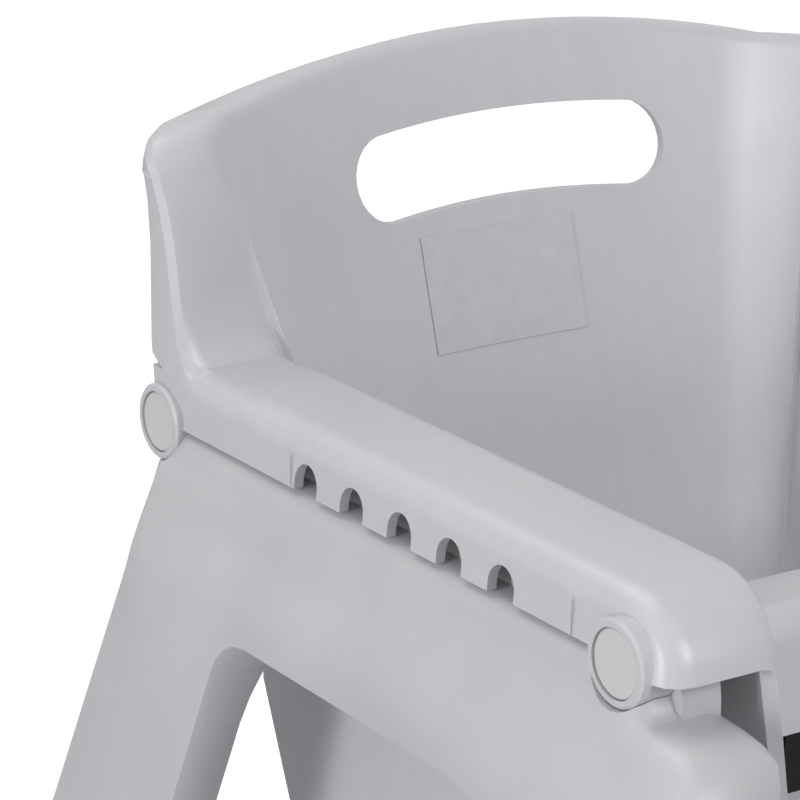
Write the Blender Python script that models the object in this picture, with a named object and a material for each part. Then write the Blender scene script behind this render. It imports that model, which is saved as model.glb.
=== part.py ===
"""A moulded high chair: a seat shell bolted to two hollow leg frames, with footrest, brace and harness."""

import math

import bmesh
import bpy
from mathutils import Vector

# General clearances
FIT = 0.0003
OVERRUN = 0.004
MERGE = 0.00001

# Seat shell: walls and arms
WALL = 0.004
PAN_HEIGHT = 0.486
SKIRT_RISE = 0.134
SKIRT_BOTTOM = PAN_HEIGHT + SKIRT_RISE
SKIRT_HEIGHT = 0.024
ARM_INNER = 0.1347
ARM_OUTER = 0.182
SKIRT_LEAN = 0.0023
ARM_FRONT = -0.214
ARM_FRONT_ROUND = 0.027
ARM_FRONT_DEPTH = 0.034
ARM_CORNER = 0.013
ARM_INNER_TUCK = 0.005
INNER_EDGE = 0.006
OUTER_EDGE = 0.010

# Seat shell: posts, rim and back
POST_FOOT = 0.070
POST_BLEND = 0.018
POST_LOW = 0.100
POST_MID = 0.1065
POST_TOP = 0.1165
FACE_TURN = 0.0125
POST_MID_RISE = 0.210
POST_MID_HEIGHT = PAN_HEIGHT + POST_MID_RISE
POST_TOP_RISE = 0.232
POST_TOP_HEIGHT = PAN_HEIGHT + POST_TOP_RISE
POST_INNER_LOW = 0.141
POST_INNER_MID = 0.1455
POST_INNER_TOP = 0.152
POST_OUTER = 0.187
SKIRT_REAR = 0.1245
SKIRT_REAR_ROUND = 0.012
CORNER_OUTER = 0.028
CORNER_INNER = 0.024
CORNER_BULGE = 0.006
CORNER_RISE = 0.005
BACK_RISE = 0.2665
BACK_TOP = PAN_HEIGHT + BACK_RISE
RIM_BACK = 0.170
RIM_DEPTH = 0.0105
RIM_LIP = 0.012
ARCH_RADIUS = 0.581
RIM_RADIUS = 1.400
PLAN_RADIUS = 0.510

# Seat shell: pan, apron and side webs
PAN_HALF = 0.127
PAN_FRONT = -0.222
PAN_BACK = 0.082
PAN_SIDE_END = 0.012
PAN_FILLET = 0.026
LIP_ROUND = 0.014
LIP_DROP = 0.026
WEB_OUTER = 0.1345
WEB_DROP = 0.050
WEB_BOTTOM = PAN_HEIGHT - WEB_DROP
WEB_FRONT = -0.190
WEB_BACK_LOW = 0.1005
WEB_BACK_HIGH = 0.1258
WEB_RISE = 0.124
WEB_TOP = PAN_HEIGHT + WEB_RISE
WEB_KNEE_RISE = 0.0092
WEB_KNEE = PAN_HEIGHT + WEB_KNEE_RISE
WEB_THICK = 0.0035

# Front bar and crotch post, moulded with the shell
BAR_TOP_RISE = 0.141
BAR_TOP = PAN_HEIGHT + BAR_TOP_RISE
BAR_BACK = -0.163
BAR_FRONT = -0.199
BAR_HEIGHT = 0.044
BAR_BACK_HEIGHT = 0.024
BAR_EDGE = 0.014
BAR_BACK_EDGE = 0.006
BAR_FLARE = 0.005
BAR_RISE = 0.004
BAR_FALL = 0.002
BAR_SPREAD_SHARE = 0.8
CROTCH_FRONT_LOW = -0.212
POST_TOP_HALF = 0.034
POST_WAIST_HALF = 0.021
POST_BASE_HALF = 0.036
POST_DEPTH = 0.018
POST_EDGE = 0.007

# Hand slot, tray notches and the marks at their ends
SLOT_HALF = 0.079
SLOT_HEIGHT = 0.036
SLOT_RISE = 0.2145
SLOT_CENTRE = PAN_HEIGHT + SLOT_RISE
NOTCH_PITCH = 0.032
NOTCH_COUNT = 5
NOTCH_REAR = 0.0166
NOTCH_WIDTH = 0.0158
NOTCH_HEIGHT = 0.0115
MARK_REAR = 0.0185
MARK_FRONT = -0.1615
MARK_WIDTH = 0.0014
MARK_PROUD = 0.0006
MARK_HEIGHT = 0.013

# Relief slit above the rear boss
SLIT_END = 0.1150
SLIT_RISE = 0.0215
SLIT_BASE = SKIRT_BOTTOM + SLIT_RISE
SLIT_HEIGHT = 0.0045

# Arm bosses with their bolts, nuts and caps
BOSS_REAR = 0.1162
BOSS_FRONT = -0.1894
BOSS_FACE = 0.1875
BOSS_RADIUS = 0.0155
BOSS_FLOOR = 0.003
BOSS_EDGE = 0.001
CAP_BORE = 0.0124
CAP_THICK = 0.0032
CAP_SINK = 0.0006
HEAD_RADIUS = 0.0085
HEAD_HEIGHT = 0.0048
BOLT_RADIUS = 0.004
NUT_ACROSS = 0.0130
NUT_HEIGHT = 0.0062
BOLT_TAIL = 0.0015

# Leg frames
FRAME_WALL = 0.0032
TONGUE_OUTER = 0.173
TONGUE_THICK = 0.016
TONGUE_GAP = 0.0025
TONGUE_REAR = 0.127
LEDGE_GAP = 0.0006
SHOULDER_OUTER = 0.1985
SHOULDER_REAR = 0.105
SHOULDER_FRONT = -0.241
SHOULDER_DROP = 0.0162
END_ROUND = 0.022
SHOULDER_FALL = 0.004
SHOULDER_NOSE = -0.1965
SHOULDER_NOSE_ROUND = 0.006
SHOULDER_CREASE = -0.2050
SHOULDER_CREASE_ROUND = 0.003
SHOULDER_BACK = 0.1185
KNEE_DROP = 0.050
KNEE_ROUND = 0.012
NECK = 0.0105
NECK_DROP = 0.054
NECK_END_DROP = 0.006
INNER_NECK_DROP = 0.030
SADDLE_FLARE = 0.0025
PANEL_THICK = 0.049
LEG_THICK = 0.026
THICK_FADE = 0.090
BASE_HALF_WIDTH = 0.297
BASE_HALF_DEPTH = 0.300
ARCH_DROP = 0.0645
ARCH_TOP = SKIRT_BOTTOM - ARCH_DROP
ARCH_REAR_ROUND = 0.016
ARCH_FRONT_ROUND = 0.040
REAR_ROUND = 0.010
REAR_BEND_DROP = 0.1155
REAR_LEG_BEND = ARCH_TOP - REAR_BEND_DROP
REAR_LEG_MID = 0.089
REAR_LEG_TOP = 0.083
REAR_LEG_FOOT = 0.085
FRONT_LEG_TOP = 0.092
FRONT_LEG_FOOT = 0.072
FRAME_EDGE = 0.007
PANEL_CUT = 0.150
TONGUE_FRONT_ROUND = 0.030

# Footrest and rear brace
FOOTREST_TOP = 0.232
FOOTREST_DEPTH = 0.070
FOOTREST_HEIGHT = 0.034
FOOTREST_BOLT_GAP = 0.036
BRACE_TOP = 0.190
BRACE_DEPTH = 0.046
BRACE_HEIGHT = 0.034
BEAM_WALL = 0.004
BEAM_EDGE = 0.008
BEAM_BOLT_RADIUS = 0.003
BUTTON_RADIUS = 0.0085
BUTTON_HEIGHT = 0.0042
BEAM_NUT_ACROSS = 0.010
BEAM_NUT_HEIGHT = 0.005

# Glides
GLIDE_THICK = 0.008
GLIDE_PLUG = 0.020
GLIDE_MARGIN = 0.001

# Blank label on the back
LABEL_WIDTH = 0.078
LABEL_HEIGHT = 0.048
LABEL_SHIFT = -0.012
LABEL_RISE = 0.162
LABEL_CENTRE = PAN_HEIGHT + LABEL_RISE
LABEL_THICK = 0.0004
LABEL_RUNS = 6

# Harness: webbing
LAP_WIDTH = 0.030
LAP_RISE = 0.045
LAP_HEIGHT = PAN_HEIGHT + LAP_RISE
WEBBING = 0.0016
ANCHOR_Y = 0.006
ANCHOR_TAIL = 0.014
STRAP_STRAIGHT = 0.072
STRAP_WALL_END = -0.025
STRAP_PULL = 0.030
STRAP_WALL_PULL = 0.045
STRAP_RETURN = 0.066
STRAP_RUNS = 8
CROTCH_WIDTH = 0.022
CROTCH_TAIL = 0.024
CROTCH_RETURN = 0.012
CROTCH_BEND = 0.004

# Harness: buckle
BUCKLE_Y = -0.111
HOUSING_HALF = 0.022
HOUSING_RISE = 0.030
HOUSING_LOW = PAN_HEIGHT + HOUSING_RISE
HOUSING_TALL = 0.034
HOUSING_DEEP = 0.013
HOUSING_ROUND = 0.006
WING_REACH = 0.012
WING_DEEP = 0.004
WING_BAR = 0.004
WING_EDGE = 0.003
BLADE_HALF = 0.0100
BLADE_THICK = 0.0025
BLADE_REACH = 0.022
TONGUE_BODY_HALF = 0.0155
EYE_BAR = 0.003
EYE_SLOT = 0.0035
EYE_TOP = 0.003
EYE_DEEP = 0.004
BUTTON_HALF = 0.008
BUTTON_ROUND = 0.003
BUTTON_DEEP = 0.0035
BUTTON_PROUD = 0.0010
BUTTON_TRAVEL = 0.0015
ADJUSTER_X = 0.042
ADJUSTER_LENGTH = 0.012
ADJUSTER_WALL = 0.002

# Harness: anchors
WASHER_RADIUS = 0.009
WASHER_THICK = 0.0012
SCREW_RADIUS = 0.0025
SCREW_HEAD = 0.006
SCREW_HEAD_HEIGHT = 0.003
SCREW_TAIL = 0.003
PLATE_THICK = 0.0016
PLATE_HALF = 0.009

# Shares of the sizes they belong to
DOME_SHARE = 0.6
PAN_SQUARE_SHARE = 0.75
EDGE_DEPTH_SHARE = 0.3
EDGE_INSET_SHARE = 0.3
POST_TURN_SHARE = 0.50
POST_FAN_SHARE = 0.30
POST_CLIMB_SHARE = 0.05
CORNER_TURN_SHARE = 0.14
CORNER_MID_SHARE = 0.4
CORNER_REACH_SHARE = 0.25
TURN_MID_SHARE = 0.85
TURN_TOP_SHARE = 0.6
INNER_FOOT_SHARES = (0.4, -0.3, 0)
INNER_RISE_SHARES = (0.6, 0.15, 0.14)
OUTER_FOOT_SHARES = (0.2, -0.6, 0)
OUTER_RISE_SHARES = (0.6, -0.2, 0.2)
BEND_ROUND_SHARE = 4
LEAST_TURN_SHARE = 0.5
INNER_ROOM_SHARE = 0.45
OUTER_ROOM_SHARE = 0.5
OUTER_REACH_SHARE = 0.8

STEPS = 4
HALF_TURN_STEPS = 14
SLOT_RUNS = 7
POST_LEVELS = 6
ARM_RUNS = 5
FRONT_RUNS = 7
CORNER_RUNS = 8
POST_RUNS = 9
RIM_RUNS = 9
WALL_RUNS = 3
FILLET_RUNS = 3
FADE_RUNS = 9
EDGE_RUNS = 3
ROUND_SIDES = 24
SMALL_SIDES = 12
CAP_SIDES = 44


def clear_scene():
    for obj in list(bpy.data.objects):
        bpy.data.objects.remove(obj, do_unlink=True)


def material(name, colour, roughness, metallic=0.0):
    made = bpy.data.materials.new(name)
    made.use_nodes = True
    shader = made.node_tree.nodes["Principled BSDF"]
    shader.inputs["Base Color"].default_value = (*colour, 1.0)
    shader.inputs["Roughness"].default_value = roughness
    shader.inputs["Metallic"].default_value = metallic
    made.diffuse_color = (*colour, 1.0)
    return made


def add_object(name, mesh, look=None):
    obj = bpy.data.objects.new(name, mesh)
    bpy.context.collection.objects.link(obj)
    if look:
        mesh.materials.append(look)
        mesh.shade_smooth()
        mesh.set_sharp_from_angle(angle=math.radians(35))
    return obj


def mesh_of(name, points, faces):
    """A mesh whose doubled points are joined and whose faces are turned outwards."""
    mesh = bpy.data.meshes.new(name)
    mesh.from_pydata([tuple(point) for point in points], [], faces)
    work = bmesh.new()
    work.from_mesh(mesh)
    bmesh.ops.remove_doubles(work, verts=work.verts, dist=MERGE)
    bmesh.ops.dissolve_degenerate(work, edges=work.edges, dist=MERGE)
    bmesh.ops.recalc_face_normals(work, faces=work.faces)
    work.to_mesh(mesh)
    work.free()
    return mesh


def mix(first, second, share):
    return first + (second - first) * share


def corner(before, point, after, length, steps):
    """A round corner from the run towards `before` to the run towards `after`."""
    start = point + (before - point).normalized() * length
    end = point + (after - point).normalized() * length
    return [
        mix(mix(start, point, i / steps), mix(point, end, i / steps), i / steps)
        for i in range(steps + 1)
    ]


def rounded(outline, radii, steps):
    """A closed outline of 2-D points with each corner rounded by its own length."""
    points = []
    for i, point in enumerate(outline):
        after = outline[(i + 1) % len(outline)]
        if radii[i]:
            points += corner(outline[i - 1], point, after, radii[i], steps)
        else:
            points.append(point)
    return points


def inset(outline, distance):
    """The closed anticlockwise outline moved inwards by a wall."""
    moved = []
    for i, point in enumerate(outline):
        before = (point - outline[i - 1]).normalized()
        after = (outline[(i + 1) % len(outline)] - point).normalized()
        first = Vector((-before.y, before.x))
        second = Vector((-after.y, after.x))
        middle = (first + second).normalized()
        moved.append(point + middle * (distance / max(middle.dot(first), LEAST_TURN_SHARE)))
    return moved


def loft(name, rings):
    """A closed solid through rings of equally many points, with its ends capped."""
    count = len(rings[0])
    points = [point for ring in rings for point in ring]
    faces = []
    for r in range(len(rings) - 1):
        for i in range(count):
            j = (i + 1) % count
            low, high = r * count, (r + 1) * count
            faces.append((low + i, low + j, high + j, high + i))
    faces.append(tuple(range(count)))
    faces.append(tuple(range((len(rings) - 1) * count, len(rings) * count)))
    return mesh_of(name, points, faces)


def circle(radius, sides=ROUND_SIDES):
    turns = [math.tau * i / sides for i in range(sides)]
    return [Vector((radius * math.cos(turn), radius * math.sin(turn))) for turn in turns]


def turned(name, profile, centre, axis, sides=ROUND_SIDES):
    """A solid turned about an axis through `centre`, from a list of (distance along it, radius)."""
    axis = axis.normalized()
    across = axis.cross(Vector((0, 1, 0))).normalized()
    up = axis.cross(across)
    rings = []
    for distance, radius in profile:
        middle = centre + axis * distance
        rings.append([middle + across * p.x + up * p.y for p in circle(radius, sides)])
    return loft(name, rings)


def turned_x(name, profile, centre, sides=ROUND_SIDES):
    """A solid turned about the X axis through `centre`, from a list of (x, radius)."""
    return turned(name, profile, centre, Vector((1, 0, 0)), sides)


def helper(mesh):
    obj = add_object("helper_" + mesh.name, mesh)
    obj.hide_render = True
    obj.display_type = "WIRE"
    return obj


def boolean(obj, tool, operation, solver):
    step = obj.modifiers.new(operation.lower(), "BOOLEAN")
    step.operation = operation
    step.object = tool
    step.solver = solver


def cut(obj, mesh, solver="EXACT"):
    boolean(obj, helper(mesh), "DIFFERENCE", solver)


def unite(obj, mesh, solver="EXACT"):
    boolean(obj, helper(mesh), "UNION", solver)


def settle(obj):
    """Applies the modifiers, and removes the helpers that they used."""
    graph = bpy.context.evaluated_depsgraph_get()
    mesh = bpy.data.meshes.new_from_object(obj.evaluated_get(graph))
    used = [step.object for step in obj.modifiers if step.type == "BOOLEAN"]
    obj.modifiers.clear()
    obj.data = mesh
    mesh.shade_smooth()
    mesh.set_sharp_from_angle(angle=math.radians(35))
    for tool in used:
        bpy.data.objects.remove(tool, do_unlink=True)


# Seat shell


def arch(x):
    return BACK_TOP - x * x / (2 * ARCH_RADIUS)


class Station:
    """One slice of the shell: inner and outer edge of the top band, the skirt's end, and the pan's share."""

    def __init__(self, inner, outer, end, share):
        self.inner = inner
        self.outer = outer
        self.end = end
        self.share = share
        self.foot = pan_edge(share)


def pan_edge(share):
    """The pan's outline: 0 at the front, 1 where the side ends, 2 at the middle of the back."""
    if share <= 1:
        return Vector((PAN_HALF, mix(PAN_FRONT, PAN_SIDE_END, share), PAN_HEIGHT))
    turn = math.radians(90) * (share - 1)
    wide = math.cos(turn) ** PAN_SQUARE_SHARE
    deep = math.sin(turn) ** PAN_SQUARE_SHARE
    return Vector((PAN_HALF * wide, mix(PAN_SIDE_END, PAN_BACK, deep), PAN_HEIGHT))


def curve(points, share):
    """A point of the smooth curve through `points`, by its share of their count."""
    place = share * (len(points) - 1)
    i = min(int(place), len(points) - 2)
    t = place - i
    first, second = points[i], points[i + 1]
    before = points[i - 1] if i else first * 2 - second
    after = points[i + 2] if i + 2 < len(points) else second * 2 - first
    straight = second - first
    pull = (second - before) / 2
    push = (after - first) / 2
    bend = pull - straight
    flare = straight - push
    return first + (straight + (bend * (1 - t) - flare * -t) * (1 - t)) * t


def arm_stations():
    """The front end, which rounds down, and the straight arm."""
    made = []
    top = SKIRT_BOTTOM + SKIRT_HEIGHT
    middle = Vector((0, ARM_FRONT + ARM_FRONT_DEPTH, top - ARM_FRONT_ROUND))
    places = []
    for i in range(FRONT_RUNS + 1):
        turn = math.radians(90) * i / FRONT_RUNS
        left = math.cos(turn)
        y = middle.y - ARM_FRONT_DEPTH * left
        z = middle.z + ARM_FRONT_ROUND * math.sin(turn)
        end_y = middle.y - (ARM_FRONT_DEPTH - ARM_CORNER) * left
        places.append((left, y, z, end_y, mix(SKIRT_BOTTOM, middle.z, left)))
    for i in range(1, ARM_RUNS):
        y = mix(middle.y, POST_FOOT, i / ARM_RUNS)
        places.append((0, y, top, y, SKIRT_BOTTOM))
    for left, y, z, end_y, end_z in places:
        inner = Vector((ARM_INNER + ARM_INNER_TUCK * left * left, y, z))
        outer = Vector((ARM_OUTER, y, z))
        end = Vector((ARM_OUTER + SKIRT_LEAN, end_y, end_z))
        made.append(Station(inner, outer, end, (y - ARM_FRONT) / (POST_FOOT - ARM_FRONT)))
    return made


def blend_point(low_x, high_x, shares):
    """A point of the soft foot where the arm's top turns up into the post."""
    across, along, rise = shares
    top = SKIRT_BOTTOM + SKIRT_HEIGHT
    return Vector((mix(low_x, high_x, across), POST_LOW + POST_BLEND * along, top + POST_BLEND * rise))


def post_stations():
    """The band turns up into the post, nearly upright first and then leaning back, and turned inwards."""
    top = SKIRT_BOTTOM + SKIRT_HEIGHT
    low_height = top + POST_BLEND
    inner = [
        Vector((ARM_INNER, POST_FOOT, top)),
        blend_point(ARM_INNER, POST_INNER_LOW, INNER_FOOT_SHARES),
        blend_point(ARM_INNER, POST_INNER_LOW, INNER_RISE_SHARES),
        Vector((POST_INNER_LOW, POST_LOW + FACE_TURN, low_height)),
        Vector((POST_INNER_MID, POST_MID + FACE_TURN * TURN_MID_SHARE, POST_MID_HEIGHT)),
        Vector((POST_INNER_TOP, POST_TOP + FACE_TURN * TURN_TOP_SHARE, POST_TOP_HEIGHT)),
    ]
    outer = [
        Vector((ARM_OUTER, POST_FOOT, top)),
        blend_point(ARM_OUTER, POST_OUTER, OUTER_FOOT_SHARES),
        blend_point(ARM_OUTER, POST_OUTER, OUTER_RISE_SHARES),
        Vector((POST_OUTER, POST_LOW, low_height)),
        Vector((POST_OUTER, POST_MID, POST_MID_HEIGHT)),
        Vector((POST_OUTER, POST_TOP, POST_TOP_HEIGHT)),
    ]
    skirt = ARM_OUTER + SKIRT_LEAN
    end = [
        Vector((skirt, POST_FOOT, SKIRT_BOTTOM)),
        Vector((skirt, (POST_FOOT + SKIRT_REAR) / 2, SKIRT_BOTTOM)),
        Vector((skirt, SKIRT_REAR - SKIRT_REAR_ROUND, SKIRT_BOTTOM)),
        Vector((skirt, SKIRT_REAR, SKIRT_BOTTOM + SKIRT_REAR_ROUND)),
        Vector((skirt, SKIRT_REAR, POST_MID_HEIGHT)),
        Vector((skirt, POST_TOP + RIM_LIP, POST_TOP_HEIGHT)),
    ]
    made = []
    for i in range(POST_RUNS + 1):
        share = i / POST_RUNS
        places = (curve(line, share) for line in (inner, outer, end))
        turned = POST_TURN_SHARE * min(share / POST_FAN_SHARE, 1) + POST_CLIMB_SHARE * share
        made.append(Station(*places, 1 + turned))
    return made


def rim_stations(post_top):
    """Round the post's corner and along the rim to the middle of the back."""
    made = []
    low = Vector((0, 0, -RIM_LIP))

    def rim(across, depth, radius):
        return Vector((across, RIM_BACK - depth - across * across / (2 * radius), arch(across)))

    inner_bend = POST_INNER_TOP - CORNER_INNER
    outer_bend = POST_OUTER - CORNER_OUTER
    inner_rim = rim(inner_bend, RIM_DEPTH, PLAN_RADIUS)
    outer_rim = rim(outer_bend, 0, RIM_RADIUS)
    inner_y = mix(POST_TOP + FACE_TURN * TURN_TOP_SHARE, inner_rim.y, CORNER_MID_SHARE)
    inner_mid = Vector((POST_INNER_TOP + CORNER_BULGE, inner_y, inner_rim.z))
    outer_mid = Vector((POST_OUTER, mix(POST_TOP, outer_rim.y, CORNER_MID_SHARE), outer_rim.z + CORNER_RISE))
    end_mid = (post_top.end + outer_rim + low) / 2 + Vector((CORNER_OUTER * CORNER_REACH_SHARE, 0, 0))
    turned = post_top.share
    for i in range(1, CORNER_RUNS + 1):
        t = i / CORNER_RUNS
        inner = mix(mix(post_top.inner, inner_mid, t), mix(inner_mid, inner_rim, t), t)
        outer = mix(mix(post_top.outer, outer_mid, t), mix(outer_mid, outer_rim, t), t)
        end = mix(mix(post_top.end, end_mid, t), mix(end_mid, outer_rim + low, t), t)
        made.append(Station(inner, outer, end, turned + CORNER_TURN_SHARE * t))
    turned += CORNER_TURN_SHARE
    for i in range(1, RIM_RUNS + 1):
        left = 1 - i / RIM_RUNS
        outer = rim(outer_bend * left, 0, RIM_RADIUS)
        inner = rim(inner_bend * left, RIM_DEPTH, PLAN_RADIUS)
        made.append(Station(inner, outer, outer + low, mix(2, turned, left)))
    return made


def stations():
    arm = arm_stations()
    post = post_stations()
    return arm + post + rim_stations(post[-1])


def slice_of(foot, inner, outer, end, edges):
    """The section's points from the pan up the wall, over the top band and down to the skirt's end."""
    inner_edge, outer_edge, fillet_length = edges
    inward = Vector((0, min(foot.y, PAN_SIDE_END), foot.z))
    fillet = corner(inward, foot, inner, fillet_length, FILLET_RUNS)
    room = (outer - inner).length
    edge = corner(foot, inner, outer, min(inner_edge, room * INNER_ROOM_SHARE), EDGE_RUNS)
    reach = min(outer_edge, room * OUTER_ROOM_SHARE, (end - outer).length * OUTER_REACH_SHARE)
    outer_run = corner(inner, outer, end, reach, EDGE_RUNS)
    wall = [mix(fillet[-1], edge[0], i / WALL_RUNS) for i in range(1, WALL_RUNS)]
    return fillet + wall + edge + outer_run + [end]


def sides_of(station, before, after):
    """The section's shown side, and the same section on the wall's other side."""
    along = after.inner + after.outer - before.inner - before.outer
    across = (station.outer - station.inner).normalized()
    normal = across.cross(along).normalized()
    run = after.foot - before.foot
    outward = Vector((run.y, -run.x, 0)).normalized()
    foot = station.foot + (outward - Vector((0, 0, 1))) * WALL
    inner = station.inner + (across - normal) * WALL
    outer = station.outer - (across + normal) * WALL
    end = station.end - across * WALL
    shown = (station.foot, station.inner, station.outer, station.end, (INNER_EDGE, OUTER_EDGE, PAN_FILLET))
    edges = (INNER_EDGE - WALL, OUTER_EDGE - WALL, PAN_FILLET + WALL)
    return slice_of(*shown), slice_of(foot, inner, outer, end, edges)


def mirrored(point):
    return Vector((-point.x, point.y, point.z))


def half_grids():
    """The shown and the hidden side of the +X half, as rows of points from the arm's front to the back."""
    line = stations()
    last = line[-2]
    past = Station(mirrored(last.inner), mirrored(last.outer), mirrored(last.end), last.share)
    past.foot = mirrored(last.foot)
    padded = [line[0]] + line + [past]
    pairs = [sides_of(padded[i + 1], padded[i], padded[i + 2]) for i in range(len(line))]
    return [pair[0] for pair in pairs], [pair[1] for pair in pairs]


def seat_sheet():
    """Both halves with the pan, the wall's thickness and its free edges closed."""
    points, faces = [], []

    def add(*face):
        faces.append(tuple(range(len(points), len(points) + len(face))))
        points.extend(face)

    top, under = half_grids()
    for turn in (lambda p: p, mirrored):
        for grid in (top, under):
            for i in range(len(grid) - 1):
                for j in range(len(grid[0]) - 1):
                    add(*(turn(p) for p in (grid[i][j], grid[i + 1][j], grid[i + 1][j + 1], grid[i][j + 1])))
        for i in range(len(top) - 1):
            add(*(turn(p) for p in (top[i][-1], top[i + 1][-1], under[i + 1][-1], under[i][-1])))
        for j in range(len(top[0]) - 1):
            add(*(turn(p) for p in (top[0][j], top[0][j + 1], under[0][j + 1], under[0][j])))
    for grid in (top, under):
        rim = [row[0] for row in grid]
        add(*rim, *(mirrored(p) for p in reversed(rim[:-1])))
    add(top[0][0], mirrored(top[0][0]), mirrored(under[0][0]), under[0][0])
    return mesh_of("seat_shell", points, faces)


def prism_x(name, outline, low, high):
    """An outline of (y, z) points pushed out along X."""
    return loft(name, [[Vector((x, p.x, p.y)) for p in outline] for x in (low, high)])


def prism_y(name, outline, low, high):
    """An outline of (x, z) points pushed out along Y."""
    return loft(name, [[Vector((p.x, y, p.y)) for p in outline] for y in (low, high)])


def prism_z(name, outline, low, high):
    return loft(name, [[Vector((p.x, p.y, z)) for p in outline] for z in (low, high)])


def box(name, low, high):
    corners = ((low[0], low[1]), (high[0], low[1]), (high[0], high[1]), (low[0], high[1]))
    return prism_z(name, [Vector(p) for p in corners], low[2], high[2])


def bar_section(rise):
    """The front bar's channel in (y, z): open below, rolled over at the front."""
    front, back, top = BAR_FRONT - rise * BAR_SPREAD_SHARE, BAR_BACK + rise * BAR_SPREAD_SHARE, BAR_TOP + rise
    bottom = BAR_TOP - BAR_HEIGHT - rise * BAR_SPREAD_SHARE
    back_bottom = BAR_TOP - BAR_BACK_HEIGHT - rise * BAR_SPREAD_SHARE
    outer = rounded(
        [Vector((back, back_bottom)), Vector((back, top)), Vector((front, top - BAR_FALL)), Vector((front, bottom))],
        [0, BAR_BACK_EDGE, BAR_EDGE, 0],
        STEPS,
    )
    low = Vector((0, WALL))
    front_in, back_in = front + WALL, back - WALL
    inner = rounded(
        [
            Vector((front_in, bottom)),
            Vector((front_in, top - BAR_FALL)) - low,
            Vector((back_in, top)) - low,
            Vector((back_in, back_bottom)),
        ],
        [0, BAR_EDGE - WALL, BAR_BACK_EDGE - WALL, 0],
        STEPS,
    )
    return outer + inner


def front_bar():
    """The bar flares where it runs into the side walls."""
    reach = ARM_INNER + WALL / 2
    places = []
    for i in range(STEPS + 1):
        turn = math.radians(90) * i / STEPS
        places.append((reach - BAR_FLARE * math.sin(turn), BAR_RISE * (1 - math.sin(turn))))
    rings = []
    for x, rise in places:
        rings.append([Vector((-x, p.x, p.y)) for p in bar_section(rise)])
    for x, rise in reversed(places):
        rings.append([Vector((x, p.x, p.y)) for p in bar_section(rise)])
    return loft("front_bar", rings)


def crotch_post():
    """A channel open to the back, waisted between the bar and the pan."""
    top, bottom = BAR_TOP - BAR_HEIGHT + WALL * 2, PAN_HEIGHT - WALL / 2
    rings = []
    for i in range(POST_LEVELS + 1):
        share = i / POST_LEVELS
        wave = (1 - math.cos(math.tau * share)) / 2
        half = mix(mix(POST_BASE_HALF, POST_TOP_HALF, share), POST_WAIST_HALF, wave)
        z = mix(bottom, top, share)
        front = mix(CROTCH_FRONT_LOW, BAR_FRONT + WALL / 4, share)
        back = front + POST_DEPTH
        outer = [Vector((half, back)), Vector((-half, back)), Vector((-half, front)), Vector((half, front))]
        outline = rounded(outer, [0, 0, POST_EDGE, POST_EDGE], 2)
        side = half - WALL
        inner = [Vector((-side, back)), Vector((side, back)), Vector((side, front + WALL)), Vector((-side, front + WALL))]
        hollow = rounded(inner, [0, 0, POST_EDGE - WALL, POST_EDGE - WALL], 2)
        ring = [outline[0]] + hollow[1:2] + hollow[2:] + hollow[:1] + outline[1:]
        rings.append([Vector((p.x, p.y, z)) for p in ring])
    return loft("crotch_post", rings)


def pan_lip():
    """The pan's front edge, rolled down."""
    low = Vector((0, WALL))
    back = PAN_FRONT + LIP_ROUND * 2
    outer = [Vector((back, PAN_HEIGHT)), Vector((PAN_FRONT, PAN_HEIGHT)), Vector((PAN_FRONT, PAN_HEIGHT - LIP_DROP))]
    inner = [
        Vector((PAN_FRONT + WALL, PAN_HEIGHT - LIP_DROP)),
        Vector((PAN_FRONT + WALL, PAN_HEIGHT)) - low,
        Vector((back, PAN_HEIGHT)) - low,
    ]
    section = rounded(outer + inner, [0, LIP_ROUND, 0, 0, LIP_ROUND - WALL, 0], STEPS)
    return prism_x("pan_lip", section, -PAN_HALF, PAN_HALF)


def side_web(side):
    """The upright web outside the bucket, from the apron up to the arm."""
    outline = [
        Vector((WEB_FRONT, WEB_BOTTOM)),
        Vector((WEB_BACK_LOW, WEB_BOTTOM)),
        Vector((WEB_BACK_HIGH, WEB_KNEE)),
        Vector((WEB_BACK_HIGH, WEB_TOP)),
        Vector((POST_FOOT, WEB_TOP)),
        Vector((WEB_FRONT, PAN_HEIGHT)),
    ]
    section = rounded(outline, [0, 0, 0, WALL * 2, 0, 0], 2)
    low, high = sorted((side * (WEB_OUTER - WEB_THICK), side * WEB_OUTER))
    return prism_x("side_web", section, low, high)


def slot_outline(half, height, centre, radius):
    """The hand slot in (x, z): arched like the rim, with round ends."""
    points = []
    for up in (1, -1):
        for i in range(-SLOT_RUNS, SLOT_RUNS + 1):
            x = up * (half - height / 2) * i / SLOT_RUNS
            points.append(Vector((x, centre - x * x / (2 * radius) - up * height / 2)))
        tip = points[-1] + Vector((0, up * height / 2))
        for i in range(1, HALF_TURN_STEPS):
            turn = math.pi * i / HALF_TURN_STEPS
            points.append(tip + Vector((up * math.sin(turn), -up * math.cos(turn))) * height / 2)
    return points


def notch_outline(rear):
    """A tray notch in (y, z): open below, with a half-round top."""
    radius = NOTCH_WIDTH / 2
    middle = rear - radius
    spring = SKIRT_BOTTOM + NOTCH_HEIGHT - radius
    points = [Vector((rear, SKIRT_BOTTOM - OVERRUN))]
    for i in range(HALF_TURN_STEPS + 1):
        turn = math.pi * i / HALF_TURN_STEPS
        points.append(Vector((middle + radius * math.cos(turn), spring + radius * math.sin(turn))))
    points.append(Vector((rear - NOTCH_WIDTH, SKIRT_BOTTOM - OVERRUN)))
    return points


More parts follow.
